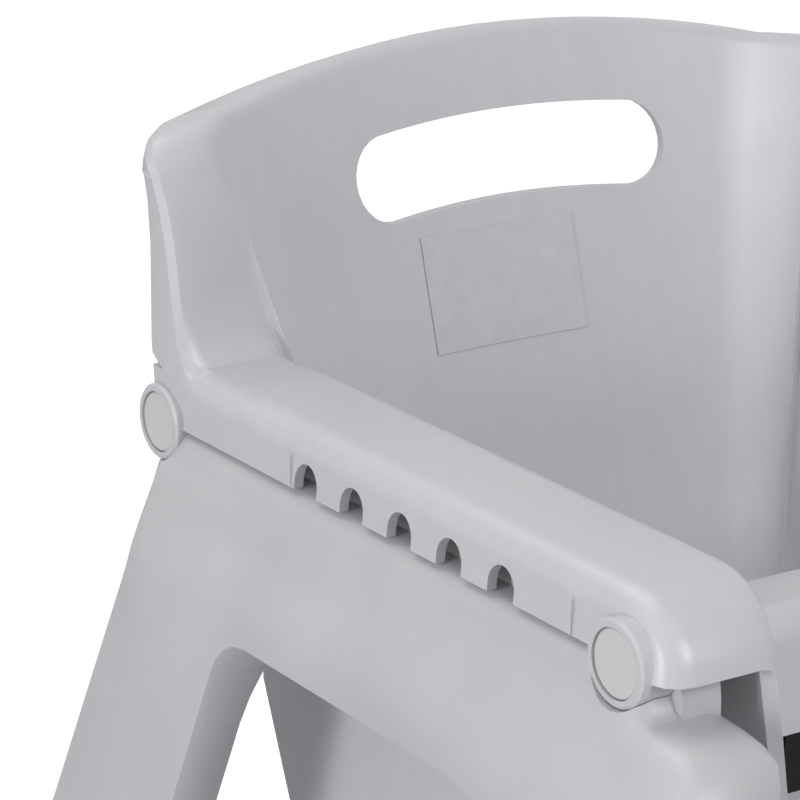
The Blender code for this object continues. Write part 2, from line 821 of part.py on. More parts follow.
def relief_outline():
    """The slit above the rear boss in (y, z), which runs out to a point."""
    mouth = SKIRT_REAR + OVERRUN
    rise = SLIT_HEIGHT * (mouth - SLIT_END) / (SKIRT_REAR - SLIT_END)
    return [Vector((SLIT_END, SLIT_BASE)), Vector((mouth, SLIT_BASE)), Vector((mouth, SLIT_BASE + rise))]


def boss(side, y):
    """A ring that stands out of the skirt and reaches in to the leg frame's tongue."""
    centre = Vector((0, y, SKIRT_BOTTOM))
    near, far = side * (TONGUE_OUTER + FIT), side * BOSS_FACE
    edge = side * BOSS_EDGE
    profile = [(near, BOSS_RADIUS), (far - edge, BOSS_RADIUS), (far, BOSS_RADIUS - BOSS_EDGE)]
    return turned_x("boss", profile, centre, CAP_SIDES)


def boss_hole(side, y):
    centre = Vector((0, y, SKIRT_BOTTOM))
    near = side * (TONGUE_OUTER - TONGUE_THICK)
    floor = side * (TONGUE_OUTER + FIT + BOSS_FLOOR)
    far = side * (BOSS_FACE + OVERRUN)
    hole = BOLT_RADIUS + FIT
    profile = [(near, hole), (floor, hole), (floor, CAP_BORE), (far, CAP_BORE)]
    return turned_x("boss_hole", profile, centre, CAP_SIDES)


def seat_shell(look):
    seat = add_object("seat_shell", seat_sheet(), look)
    unite(seat, front_bar())
    unite(seat, crotch_post())
    unite(seat, pan_lip())
    skirt_in, skirt_out = ARM_OUTER - WALL - OVERRUN, BOSS_FACE + OVERRUN
    for side in (1, -1):
        unite(seat, side_web(side))
        for y in (BOSS_REAR, BOSS_FRONT):
            unite(seat, boss(side, y))
        for y in (MARK_REAR, MARK_FRONT):
            low, high = sorted((side * (ARM_OUTER - WALL / 2), side * (ARM_OUTER + SKIRT_LEAN + MARK_PROUD)))
            mark = box("mark", (low, y, SKIRT_BOTTOM + FIT), (high, y + MARK_WIDTH, SKIRT_BOTTOM + MARK_HEIGHT))
            unite(seat, mark)
    settle(seat)
    slot = slot_outline(SLOT_HALF, SLOT_HEIGHT, SLOT_CENTRE, ARCH_RADIUS)
    cut(seat, prism_y("hand_slot", slot, PAN_BACK, RIM_BACK + OVERRUN))
    for side in (1, -1):
        low, high = sorted((side * skirt_in, side * skirt_out))
        for i in range(NOTCH_COUNT):
            outline = notch_outline(NOTCH_REAR - i * NOTCH_PITCH)
            cut(seat, prism_x("notch", outline, low, high))
        for y in (BOSS_REAR, BOSS_FRONT):
            cut(seat, boss_hole(side, y))
        cut(seat, prism_x("relief", relief_outline(), low, high))
        cut(seat, strap_hole(side))
    cut(seat, anchor_hole())
    settle(seat)
    return seat


# Leg frames


def face_line(z):
    """The outer face's splayed line, from the shoulder down to the floor."""
    top = ledge_height()
    return mix(SHOULDER_OUTER, BASE_HALF_WIDTH, (top - z) / top)


def soft_step(value):
    """A smooth rise from 0 to 1 as the value goes from 0 to 1."""
    held = min(max(value, 0), 1)
    return held * held * (3 - 2 * held)


def neck(z, drop):
    """How far the frame's face draws in below the seat's skirt, from `drop` under it and up."""
    return NECK * soft_step((z - SKIRT_BOTTOM + drop) / (drop - NECK_END_DROP))


def outer_x(z):
    return face_line(z) - neck(z, NECK_DROP)


def ledge_height():
    return SKIRT_BOTTOM - SHOULDER_DROP


def thickness(z):
    return mix(PANEL_THICK, LEG_THICK, soft_step((ledge_height() - z) / THICK_FADE))


def inner_x(z):
    return face_line(z) - thickness(z) + neck(z, INNER_NECK_DROP)


def rear_line(z):
    return mix(SHOULDER_REAR, BASE_HALF_DEPTH, (ledge_height() - z) / ledge_height())


def front_line(z):
    return mix(SHOULDER_FRONT, -BASE_HALF_DEPTH, (ledge_height() - z) / ledge_height())


def frame_outline(foot, top):
    """The frame in (y, z): shoulder, raked legs and the arch between them, anticlockwise from the rear foot."""
    front_low, front_high = leg_span(True, foot)
    rear_low, rear_high = leg_span(False, foot)
    ledge = ledge_height()
    knee = SKIRT_BOTTOM - KNEE_DROP
    corners = [
        (Vector((rear_high, foot)), 0),
        (Vector((rear_line(knee), knee)), KNEE_ROUND),
        (Vector((SHOULDER_BACK, top)), REAR_ROUND),
        (Vector((SHOULDER_NOSE, top)), SHOULDER_NOSE_ROUND if top > ledge else 0),
        (Vector((SHOULDER_CREASE, ledge)), SHOULDER_CREASE_ROUND if top > ledge else 0),
        (Vector((SHOULDER_FRONT, ledge - SHOULDER_FALL)), END_ROUND),
        (Vector((front_low, foot)), 0),
        (Vector((front_high, foot)), 0),
        (Vector((front_line(ARCH_TOP) + FRONT_LEG_TOP, ARCH_TOP)), ARCH_FRONT_ROUND),
        (Vector((rear_line(ARCH_TOP) - REAR_LEG_TOP, ARCH_TOP)), ARCH_REAR_ROUND),
        (Vector((rear_line(REAR_LEG_BEND) - REAR_LEG_MID, REAR_LEG_BEND)), ARCH_REAR_ROUND * BEND_ROUND_SHARE),
        (Vector((rear_low, foot)), 0),
    ]
    return rounded([point for point, _ in corners], [radius for _, radius in corners], STEPS)


def refine(outline, longest):
    """The same closed outline with its long runs divided."""
    points = []
    for i, point in enumerate(outline):
        after = outline[(i + 1) % len(outline)]
        parts = max(1, math.ceil((after - point).length / longest))
        points += [mix(point, after, k / parts) for k in range(parts)]
    return points


def frame_solid(name, outline, side, grow, edge):
    """The panel between its inner and outer face, with soft edges, divided at heights where it fades thinner."""
    spread = BASE_HALF_WIDTH
    edges = ((0, edge), (edge * EDGE_DEPTH_SHARE, edge * EDGE_INSET_SHARE), (edge, 0))
    rings = []
    for face, steps in ((-1, edges), (1, edges[::-1])):
        for depth, inward in steps:
            rings.append([Vector((face * (spread - depth), p.x, p.y)) for p in inset(outline, inward)])
    mesh = loft(name, rings)
    work = bmesh.new()
    work.from_mesh(mesh)
    bmesh.ops.triangulate(work, faces=work.faces)
    for i in range(1, FADE_RUNS + 1):
        place = Vector((0, 0, mix(SKIRT_BOTTOM - LEDGE_GAP, ledge_height() - THICK_FADE, i / FADE_RUNS)))
        parts = work.verts[:] + work.edges[:] + work.faces[:]
        bmesh.ops.bisect_plane(work, geom=parts, dist=MERGE, plane_co=place, plane_no=(0, 0, 1))
    for vert in work.verts:
        near, far = inner_x(vert.co.z) - grow, outer_x(vert.co.z) + grow
        depth = spread - abs(vert.co.x)
        if depth > edge:
            share = (vert.co.x + spread - edge) / (spread - edge) / 2
            vert.co.x = side * mix(near + edge, far - edge, share)
        else:
            vert.co.x = side * (near + depth if vert.co.x < 0 else far - depth)
    if side < 0:
        bmesh.ops.reverse_faces(work, faces=work.faces)
    work.to_mesh(mesh)
    work.free()
    return mesh


def leg_frame(name, side, look):
    longest = END_ROUND * 3
    outline = refine(frame_outline(GLIDE_THICK, SKIRT_BOTTOM - LEDGE_GAP), longest)
    frame = add_object(name, frame_solid(name, outline, side, 0, FRAME_EDGE), look)
    tongue_top = SKIRT_BOTTOM + SKIRT_HEIGHT - WALL - TONGUE_GAP
    tongue_low = ledge_height() - END_ROUND
    inside, outside = sorted((side * (TONGUE_OUTER - TONGUE_THICK), side * TONGUE_OUTER))
    tongue_front = ARM_FRONT + WALL + TONGUE_GAP
    tongue = rounded(
        [
            Vector((tongue_front, tongue_low)),
            Vector((tongue_front, tongue_top)),
            Vector((BOSS_REAR, tongue_top)),
            Vector((TONGUE_REAR, SKIRT_BOTTOM)),
            Vector((SHOULDER_REAR, tongue_low)),
        ],
        [0, TONGUE_FRONT_ROUND, WALL * 2, WALL * 2, 0],
        STEPS,
    )
    unite(frame, prism_x("tongue", tongue, inside, outside), "MANIFOLD")
    low = GLIDE_THICK - OVERRUN - FRAME_WALL
    hollow = inset(refine(frame_outline(low, ledge_height()), longest), FRAME_WALL)
    cut(frame, frame_solid("hollow", hollow, side, -FRAME_WALL, FRAME_EDGE - FRAME_WALL), "MANIFOLD")
    for y in (BOSS_REAR, BOSS_FRONT):
        centre = Vector((0, y, SKIRT_BOTTOM))
        near = side * (PANEL_CUT)
        far = side * TONGUE_OUTER
        bore = BOLT_RADIUS + FIT
        ring = BOSS_RADIUS + FIT
        profile = [(near, bore), (far, bore), (far, ring)]
        reach = SHOULDER_OUTER + OVERRUN - BOSS_FACE
        for i in range(STEPS + 1):
            profile.append((side * (BOSS_FACE + reach * i / STEPS), ring + SADDLE_FLARE * (i / STEPS) ** 2))
        cut(frame, turned_x("bolt_hole", profile, centre), "MANIFOLD")
    return frame


# Fasteners and caps


def cap(name, side, y, look):
    centre = Vector((0, y, SKIRT_BOTTOM))
    outside = BOSS_FACE - CAP_SINK
    radius = CAP_BORE - FIT
    profile = [
        (side * (outside - CAP_THICK), radius),
        (side * (outside - BOSS_EDGE / 2), radius),
        (side * outside, radius - BOSS_EDGE / 2),
    ]
    return add_object(name, turned_x(name, profile, centre, CAP_SIDES), look)


def arm_bolt(name, side, y, look):
    """Its head lies on the boss's floor, and its shank goes through the floor, the tongue and the nut."""
    centre = Vector((0, y, SKIRT_BOTTOM))
    seat = TONGUE_OUTER + FIT + BOSS_FLOOR + FIT
    end = TONGUE_OUTER - TONGUE_THICK - FIT - NUT_HEIGHT - BOLT_TAIL
    profile = [
        (side * end, BOLT_RADIUS),
        (side * seat, BOLT_RADIUS),
        (side * seat, HEAD_RADIUS),
        (side * (seat + HEAD_HEIGHT * DOME_SHARE), HEAD_RADIUS),
        (side * (seat + HEAD_HEIGHT), HEAD_RADIUS * DOME_SHARE),
    ]
    return add_object(name, turned_x(name, profile, centre), look)


def nut(name, centre, axis, low, height, across, bore, look):
    """A hexagon nut from `low` on, along the axis."""
    radius = across / math.sqrt(3)
    made = add_object(name, turned(name, [(low, radius), (low + height, radius)], centre, axis, 6), look)
    hole = [(low - OVERRUN, bore + FIT), (low + height + OVERRUN, bore + FIT)]
    cut(made, turned("nut_hole", hole, centre, axis))
    settle(made)
    return made


def arm_nut(name, side, y, look):
    low = TONGUE_OUTER - TONGUE_THICK - FIT - NUT_HEIGHT
    centre = Vector((0, y, SKIRT_BOTTOM))
    return nut(name, centre, Vector((side, 0, 0)), low, NUT_HEIGHT, NUT_ACROSS, BOLT_RADIUS, look)


# Footrest and brace


def splay():
    return (BASE_HALF_WIDTH - SHOULDER_OUTER) / ledge_height()


def upright_share():
    """What a length across the splayed leg measures along its normal."""
    return 1 / math.sqrt(1 + splay() ** 2)


def leg_span(front, z):
    """The leg's front and rear face at a height."""
    if front:
        low = front_line(z)
        share = (z - GLIDE_THICK) / (ARCH_TOP - GLIDE_THICK)
        return low, low + mix(FRONT_LEG_FOOT, FRONT_LEG_TOP, share)
    high = rear_line(z)
    share = (z - GLIDE_THICK) / (REAR_LEG_BEND - GLIDE_THICK)
    return high - mix(REAR_LEG_FOOT, REAR_LEG_MID, share), high


def beam(name, front, sizes, bolt_places, look):
    """A channel open below, whose slanted ends stand against the legs."""
    top, height, depth = sizes
    low, high = leg_span(front, top - height / 2)
    middle = (low + high) / 2
    rings = []
    for wall, drop in ((0, 0), (BEAM_WALL, OVERRUN)):
        half = depth / 2 - wall
        base, peak = top - height - drop, top - wall
        corners = ((middle - half, base), (middle + half, base), (middle + half, peak), (middle - half, peak))
        edge = BEAM_EDGE - wall
        section = rounded([Vector(p) for p in corners], [0, 0, edge, edge], STEPS)
        ends = [-1, 1]
        rings.append([[Vector((s * (inner_x(p.y) - FIT - wall), p.x, p.y)) for p in section] for s in ends])
    made = add_object(name, loft(name, rings[0]), look)
    cut(made, loft("channel", rings[1]))
    for side in (1, -1):
        for y in bolt_places:
            cut(made, beam_hole(side, y, top - height / 2))
    settle(made)
    return made


def beam_axis(side, y, z):
    """A point of the leg's inner face, and the direction square to it and outwards."""
    return Vector((side * inner_x(z), y, z)), Vector((side, 0, splay()))


def beam_hole(side, y, z):
    centre, axis = beam_axis(side, y, z)
    radius = BEAM_BOLT_RADIUS + FIT
    profile = [(-BEAM_WALL - OVERRUN, radius), (LEG_THICK + OVERRUN, radius)]
    return turned("beam_hole", profile, centre, axis, SMALL_SIDES)


def beam_bolt(name, side, y, z, look):
    centre, axis = beam_axis(side, y, z)
    seat = LEG_THICK * upright_share() + FIT
    end = -BEAM_WALL - FIT * 2 - BEAM_NUT_HEIGHT - BOLT_TAIL
    profile = [
        (end, BEAM_BOLT_RADIUS),
        (seat, BEAM_BOLT_RADIUS),
        (seat, BUTTON_RADIUS),
        (seat + BUTTON_HEIGHT * DOME_SHARE, BUTTON_RADIUS * DOME_SHARE),
    ]
    profile.insert(3, (seat + BUTTON_HEIGHT * DOME_SHARE / 2, BUTTON_RADIUS - BUTTON_HEIGHT / 4))
    return add_object(name, turned(name, profile, centre, axis, SMALL_SIDES), look)


def beam_nut(name, side, y, z, look):
    centre, axis = beam_axis(side, y, z)
    low = -BEAM_WALL - FIT * 2 - BEAM_NUT_HEIGHT
    return nut(name, centre, axis, low, BEAM_NUT_HEIGHT, BEAM_NUT_ACROSS, BEAM_BOLT_RADIUS, look)


def footrest_places():
    low, high = leg_span(True, FOOTREST_TOP - FOOTREST_HEIGHT / 2)
    middle = (low + high) / 2
    return [middle - FOOTREST_BOLT_GAP / 2, middle + FOOTREST_BOLT_GAP / 2]


def brace_places():
    low, high = leg_span(False, BRACE_TOP - BRACE_HEIGHT / 2)
    return [(low + high) / 2]


# Glides


def leg_ring(side, front, z, distance):
    """The leg's section at a height, with cut corners, moved inwards by a distance."""
    low, high = leg_span(front, z)
    low, high = low + distance, high - distance
    near, far = inner_x(z) + distance, outer_x(z) - distance
    corners = ((near, low), (far, low), (far, high), (near, high))
    ring = rounded([Vector(p) for p in corners], [FRAME_EDGE] * 4, 2)
    return [Vector((side * p.x, p.y, z)) for p in ring]


def glide(name, side, front, look):
    top = GLIDE_THICK - FIT
    plug = FRAME_WALL + GLIDE_MARGIN
    places = ((0, GLIDE_MARGIN * 2), (GLIDE_MARGIN, GLIDE_MARGIN), (top, GLIDE_MARGIN))
    places += ((top, plug), (GLIDE_THICK + GLIDE_PLUG, plug + GLIDE_MARGIN))
    rings = [leg_ring(side, front, z, distance) for z, distance in places]
    return add_object(name, loft(name, rings), look)


# Label


def back_point(x, z):
    """A point of the back's front face, found on the ruling that passes it."""
    turned_to = 1 + POST_TURN_SHARE + POST_CLIMB_SHARE + CORNER_TURN_SHARE
    reach = POST_INNER_TOP - CORNER_INNER

    def on_ruling(left):
        top = Vector((reach * left, 0, arch(reach * left)))
        top.y = RIM_BACK - RIM_DEPTH - top.x * top.x / (2 * PLAN_RADIUS)
        foot = pan_edge(mix(2, turned_to, left))
        return mix(foot, top, (z - foot.z) / (top.z - foot.z))

    low, high = 0, 1
    for _ in range(ROUND_SIDES):
        left = (low + high) / 2
        if on_ruling(left).x < abs(x):
            low = left
        else:
            high = left
    found = on_ruling(low)
    return Vector((math.copysign(found.x, x), found.y, found.z))


def label_plate(name, look):
    """A thin plate that follows the back."""
    step = LABEL_HEIGHT / LABEL_RUNS
    runs = LABEL_RUNS * 2
    grids = []
    for lift in (FIT, FIT + LABEL_THICK):
        grid = []
        for i in range(runs + 1):
            x = LABEL_SHIFT + LABEL_WIDTH * (i / runs - 1 / 2)
            row = []
            for j in range(LABEL_RUNS + 1):
                z = LABEL_CENTRE + step * (j - LABEL_RUNS / 2)
                point = back_point(x, z)
                along = back_point(x + step, z) - back_point(x - step, z)
                rise = back_point(x, z + step) - back_point(x, z - step)
                row.append(point + along.cross(rise).normalized() * lift)
            grid.append(row)
        grids.append(grid)
    points, faces = [], []

    def add(*face):
        faces.append(tuple(range(len(points), len(points) + len(face))))
        points.extend(face)

    back, front = grids
    for grid in grids:
        for i in range(runs):
            for j in range(LABEL_RUNS):
                add(grid[i][j], grid[i + 1][j], grid[i + 1][j + 1], grid[i][j + 1])
    for i in range(runs):
        for j in (0, LABEL_RUNS):
            add(back[i][j], back[i + 1][j], front[i + 1][j], front[i][j])
    for j in range(LABEL_RUNS):
        for i in (0, runs):
            add(back[i][j], back[i][j + 1], front[i][j + 1], front[i][j])
    return add_object(name, mesh_of(name, points, faces), look)


# Harness


def ribbon(path, thick):
    """The closed outline of a band of even thickness along a 2-D path."""
    sides = ([], [])
    for i, point in enumerate(path):
        before = (point - path[i - 1]).normalized() if i else None
        after = (path[i + 1] - point).normalized() if i + 1 < len(path) else before
        before = before or after
        middle = (before + after).normalized()
        normal = Vector((-middle.y, middle.x))
        reach = thick / 2 / middle.dot(before)
        sides[0].append(point + normal * reach)
        sides[1].append(point - normal * reach)
    return sides[0] + sides[1][::-1]


def wall_slope():
    return (ARM_INNER - PAN_HALF) / (SKIRT_BOTTOM + SKIRT_HEIGHT - PAN_HEIGHT)


def wall_x(z):
    """The side wall's inner face at a height."""
    return PAN_HALF + (z - PAN_HEIGHT) * wall_slope()


def bow(start, end, pull_start, pull_end, runs):
    """Points of a smooth curve between two places, without the first."""
    first, last = start + pull_start, end - pull_end
    made = []
    for i in range(1, runs + 1):
        t = i / runs
        a, b, c = mix(start, first, t), mix(first, last, t), mix(last, end, t)
        made.append(mix(mix(a, b, t), mix(b, c, t), t))
    return made


def eye_turn(centre, radius, first, last):
    """Half a turn round an eye's bar."""
    made = []
    for i in range(2 * STEPS + 1):
        turn = math.radians(mix(first, last, i / (2 * STEPS)))
        made.append(centre + Vector((math.cos(turn), math.sin(turn))) * radius)
    return made


def eye_radius(deep):
    """The strap's middle runs clear of the corners of a square bar."""
    return deep / math.sqrt(2) + FIT + WEBBING / 2


def lap_path(z):
    """The lap strap in plan: its end on the side wall, the bow to the buckle, and the return round the eye."""
    wall = wall_x(z) - FIT - WEBBING / 2
    bar = Vector((HOUSING_HALF + WING_REACH - WING_BAR / 2, BUCKLE_Y))
    radius = eye_radius(WING_DEEP)
    rear = BUCKLE_Y + radius
    path = [Vector((wall, ANCHOR_Y + ANCHOR_TAIL)), Vector((wall, ANCHOR_Y - ANCHOR_TAIL)), Vector((wall, STRAP_WALL_END))]
    pulls = (Vector((0, -STRAP_WALL_PULL)), Vector((-STRAP_PULL, 0)))
    path += bow(path[-1], Vector((STRAP_STRAIGHT, rear)), *pulls, STRAP_RUNS)
    path += eye_turn(bar, radius, 90, 270)
    path.append(Vector((STRAP_RETURN, BUCKLE_Y - radius)))
    return path


def lap_strap(name, side, look):
    rings = []
    for z in (LAP_HEIGHT - LAP_WIDTH / 2, LAP_HEIGHT + LAP_WIDTH / 2):
        rings.append([Vector((side * p.x, p.y, z)) for p in ribbon(lap_path(z), WEBBING)])
    made = add_object(name, loft(name, rings), look)
    cut(made, strap_hole(side))
    settle(made)
    return made


def anchor_axis(side):
    """A point of the side wall's inner face, and the direction square to it and outwards."""
    return Vector((side * wall_x(LAP_HEIGHT), ANCHOR_Y, LAP_HEIGHT)), Vector((side, 0, -wall_slope()))


def strap_hole(side):
    centre, axis = anchor_axis(side)
    radius = SCREW_RADIUS + FIT
    through = WEB_OUTER - PAN_HALF + OVERRUN
    return turned("strap_hole", [(-OVERRUN, radius), (through, radius)], centre, axis, SMALL_SIDES)


def washer(name, side, look):
    centre, axis = anchor_axis(side)
    near = -FIT * 2 - WEBBING - WASHER_THICK
    profile = [(near, WASHER_RADIUS), (near + WASHER_THICK, WASHER_RADIUS)]
    made = add_object(name, turned(name, profile, centre, axis), look)
    hole = [(near - OVERRUN, SCREW_RADIUS + FIT), (near + WASHER_THICK + OVERRUN, SCREW_RADIUS + FIT)]
    cut(made, turned("washer_hole", hole, centre, axis, SMALL_SIDES))
    settle(made)
    return made


def screw(name, centre, axis, seat, end, look):
    """A round-headed screw whose head's underside is at `seat`, with its shank up to `end`."""
    profile = [
        (seat - SCREW_HEAD_HEIGHT, SCREW_HEAD * DOME_SHARE),
        (seat - SCREW_HEAD_HEIGHT / 2, SCREW_HEAD),
        (seat, SCREW_HEAD),
        (seat, SCREW_RADIUS),
        (end, SCREW_RADIUS),
    ]
    return add_object(name, turned(name, profile, centre, axis, SMALL_SIDES), look)


def strap_screw(name, side, look):
    centre, axis = anchor_axis(side)
    end = WEB_OUTER - wall_x(LAP_HEIGHT) + SCREW_TAIL
    return screw(name, centre, axis, -FIT * 3 - WEBBING - WASHER_THICK, end, look)


def eye_bar_height():
    return HOUSING_LOW - FIT - EYE_TOP - EYE_SLOT - EYE_BAR / 2


def crotch_path():
    """The crotch strap in (y, z): its tail on the pan, the rise, and the return round the tongue's eye."""
    bar = Vector((BUCKLE_Y, eye_bar_height()))
    radius = eye_radius(EYE_DEEP)
    floor = PAN_HEIGHT + FIT + WEBBING / 2
    rise = BUCKLE_Y + radius
    path = [Vector((rise + CROTCH_TAIL, floor))]
    bend = corner(path[0], Vector((rise, floor)), Vector((rise, bar.y)), CROTCH_BEND, STEPS)
    path += bend + eye_turn(bar, radius, 0, 180)
    path.append(Vector((BUCKLE_Y - radius, bar.y - CROTCH_RETURN)))
    return path


def crotch_strap(name, look):
    made = add_object(name, prism_x(name, ribbon(crotch_path(), WEBBING), -CROTCH_WIDTH / 2, CROTCH_WIDTH / 2), look)
    cut(made, anchor_hole())
    settle(made)
    return made


def plate_centre():
    return Vector((0, BUCKLE_Y + eye_radius(EYE_DEEP) + CROTCH_TAIL - PLATE_HALF, PAN_HEIGHT))


def anchor_hole():
    radius = SCREW_RADIUS + FIT
    return turned("anchor_hole", [(-OVERRUN, radius), (WALL + OVERRUN, radius)], plate_centre(), Vector((0, 0, -1)))


def anchor_plate(name, look):
    """The plate that holds the crotch strap's tail down."""
    middle = plate_centre()
    base = PAN_HEIGHT + FIT * 2 + WEBBING
    half = CROTCH_WIDTH / 2
    corners = ((-half, -PLATE_HALF), (half, -PLATE_HALF), (half, PLATE_HALF), (-half, PLATE_HALF))
    outline = [Vector((x, middle.y + y)) for x, y in corners]
    outline = rounded(outline, [PLATE_THICK * 2] * 4, STEPS)
    made = add_object(name, prism_z(name, outline, base, base + PLATE_THICK), look)
    cut(made, anchor_hole())
    settle(made)
    return made


def anchor_screw(name, look):
    return screw(name, plate_centre(), Vector((0, 0, -1)), -FIT * 3 - WEBBING - PLATE_THICK, WALL + SCREW_TAIL, look)


def rectangle(half, low, high, radius):
    """A rounded rectangle in (x, z)."""
    corners = ((-half, low), (half, low), (half, high), (-half, high))
    return rounded([Vector(p) for p in corners], [radius] * 4, STEPS)


def buckle_housing(name, look):
    """A flat case with a slot below for the tongue, a well for the button and an eye at each side."""
    front, back = BUCKLE_Y - HOUSING_DEEP / 2, BUCKLE_Y + HOUSING_DEEP / 2
    high = HOUSING_LOW + HOUSING_TALL
    made = add_object(name, prism_y(name, rectangle(HOUSING_HALF, HOUSING_LOW, high, HOUSING_ROUND), front, back), look)
    low_wing = LAP_HEIGHT - LAP_WIDTH / 2 - FIT - WING_BAR
    high_wing = LAP_HEIGHT + LAP_WIDTH / 2 + FIT + WING_BAR
    wing = rectangle((WING_REACH + WING_BAR) / 2, low_wing, high_wing, WING_EDGE)
    for side in (1, -1):
        near, far = HOUSING_HALF + WING_EDGE, HOUSING_HALF + WING_REACH - WING_BAR
        shift = Vector((side * (HOUSING_HALF + (WING_REACH - WING_BAR) / 2), 0))
        shifted = [p + shift for p in wing]
        unite(made, prism_y("wing", shifted, BUCKLE_Y - WING_DEEP / 2, BUCKLE_Y + WING_DEEP / 2))
        low, high_x = sorted((side * near, side * far))
        slot = [Vector((low, BUCKLE_Y - WING_DEEP, low_wing + WING_BAR)), Vector((high_x, BUCKLE_Y + WING_DEEP, high_wing - WING_BAR))]
        cut(made, box("eye", *slot))
    half = BLADE_HALF + FIT
    deep = BLADE_THICK / 2 + FIT
    top = HOUSING_LOW + BLADE_REACH + FIT
    cut(made, box("blade_slot", (-half, BUCKLE_Y - deep, low_wing - OVERRUN), (half, BUCKLE_Y + deep, top)))
    well = rectangle(BUTTON_HALF + FIT, *button_heights(FIT), BUTTON_ROUND + FIT)
    cut(made, prism_y("button_well", well, front - OVERRUN, front + BUTTON_DEEP - BUTTON_PROUD + BUTTON_TRAVEL + FIT))
    settle(made)
    return made


def button_heights(grow=0):
    middle = HOUSING_LOW + HOUSING_TALL / 2
    return middle - BUTTON_HALF - grow, middle + BUTTON_HALF + grow


def buckle_button(name, look):
    front = BUCKLE_Y - HOUSING_DEEP / 2 - BUTTON_PROUD
    outline = rectangle(BUTTON_HALF, *button_heights(), BUTTON_ROUND)
    return add_object(name, prism_y(name, outline, front, front + BUTTON_DEEP), look)


def buckle_tongue(name, look):
    """A blade that goes up into the housing, and an eye for the crotch strap below it."""
    top = HOUSING_LOW - FIT
    base = eye_bar_height() - EYE_BAR / 2
    outline = rectangle(TONGUE_BODY_HALF, base, top, EYE_BAR / 2)
    made = add_object(name, prism_y(name, outline, BUCKLE_Y - EYE_DEEP / 2, BUCKLE_Y + EYE_DEEP / 2), look)
    blade = rectangle(BLADE_HALF, base + EYE_BAR + EYE_SLOT + EYE_TOP / 2, HOUSING_LOW + BLADE_REACH, EYE_BAR / 2)
    unite(made, prism_y("blade", blade, BUCKLE_Y - BLADE_THICK / 2, BUCKLE_Y + BLADE_THICK / 2))
    half = CROTCH_WIDTH / 2 + FIT
    slot = [Vector((-half, BUCKLE_Y - EYE_DEEP, base + EYE_BAR)), Vector((half, BUCKLE_Y + EYE_DEEP, base + EYE_BAR + EYE_SLOT))]
    cut(made, box("tongue_eye", *slot))
    settle(made)
    return made


def adjuster(name, side, look):
    """A sleeve round both layers of the strap, with a web between them."""
    radius = eye_radius(WING_DEEP)
    half = radius + WEBBING / 2 + FIT + ADJUSTER_WALL
    tall = LAP_WIDTH / 2 + FIT + ADJUSTER_WALL
    low, high = sorted((side * ADJUSTER_X, side * (ADJUSTER_X + ADJUSTER_LENGTH)))
    outline = [Vector((y, z)) for y, z in ((-half, -tall), (half, -tall), (half, tall), (-half, tall))]
    outline = rounded([p + Vector((BUCKLE_Y, LAP_HEIGHT)) for p in outline], [ADJUSTER_WALL / 2] * 4, 2)
    made = add_object(name, prism_x(name, outline, low, high), look)
    inside = LAP_WIDTH / 2 + FIT
    deep = WEBBING / 2 + FIT
    for y in (BUCKLE_Y - radius, BUCKLE_Y + radius):
        near = (low - OVERRUN, y - deep, LAP_HEIGHT - inside)
        far = (high + OVERRUN, y + deep, LAP_HEIGHT + inside)
        cut(made, box("strap_way", near, far))
    settle(made)
    return made


def main():
    clear_scene()
    grey = material("grey_moulding", (0.58, 0.58, 0.61), 0.42)
    frame_grey = material("grey_frame", (0.55, 0.55, 0.575), 0.45)
    cap_grey = material("grey_cap", (0.61, 0.61, 0.61), 0.38)
    steel = material("zinc_steel", (0.62, 0.62, 0.60), 0.35, 1.0)
    rubber = material("glide_rubber", (0.10, 0.10, 0.105), 0.75)
    film = material("label_film", (0.60, 0.60, 0.63), 0.25)
    webbing = material("black_webbing", (0.012, 0.014, 0.016), 0.85)
    black = material("black_plastic", (0.014, 0.015, 0.017), 0.45)
    seat_shell(grey)
    footrest_sizes = (FOOTREST_TOP, FOOTREST_HEIGHT, FOOTREST_DEPTH)
    brace_sizes = (BRACE_TOP, BRACE_HEIGHT, BRACE_DEPTH)
    beams = (
        ("footrest", FOOTREST_TOP - FOOTREST_HEIGHT / 2, footrest_places()),
        ("brace", BRACE_TOP - BRACE_HEIGHT / 2, brace_places()),
    )
    beam("footrest", True, footrest_sizes, footrest_places(), frame_grey)
    beam("rear_brace", False, brace_sizes, brace_places(), frame_grey)
    for side, word in ((-1, "left"), (1, "right")):
        frame = leg_frame(word + "_leg_frame", side, frame_grey)
        for name, z, places in beams:
            for y, number in zip(places, "ab"):
                cut(frame, beam_hole(side, y, z), "MANIFOLD")
                label = f"{name}_{word}_{number}" if len(places) > 1 else f"{name}_{word}"
                beam_bolt(f"{label}_bolt", side, y, z, steel)
                beam_nut(f"{label}_nut", side, y, z, steel)
        settle(frame)
        for y, place in ((BOSS_FRONT, "front"), (BOSS_REAR, "rear")):
            cap(f"cap_{word}_{place}", side, y, cap_grey)
            arm_bolt(f"arm_bolt_{word}_{place}", side, y, steel)
            arm_nut(f"arm_nut_{word}_{place}", side, y, steel)
            glide(f"glide_{word}_{place}", side, place == "front", rubber)
        lap_strap(f"lap_strap_{word}", side, webbing)
        washer(f"strap_washer_{word}", side, steel)
        strap_screw(f"strap_screw_{word}", side, steel)
        adjuster(f"strap_adjuster_{word}", side, black)
    label_plate("label_plate", film)
    crotch_strap("crotch_strap", webbing)
    anchor_plate("crotch_anchor_plate", steel)
    anchor_screw("crotch_anchor_screw", steel)
    buckle_housing("buckle_housing", black)
    buckle_button("buckle_button", black)
    buckle_tongue("buckle_tongue", black)


main()
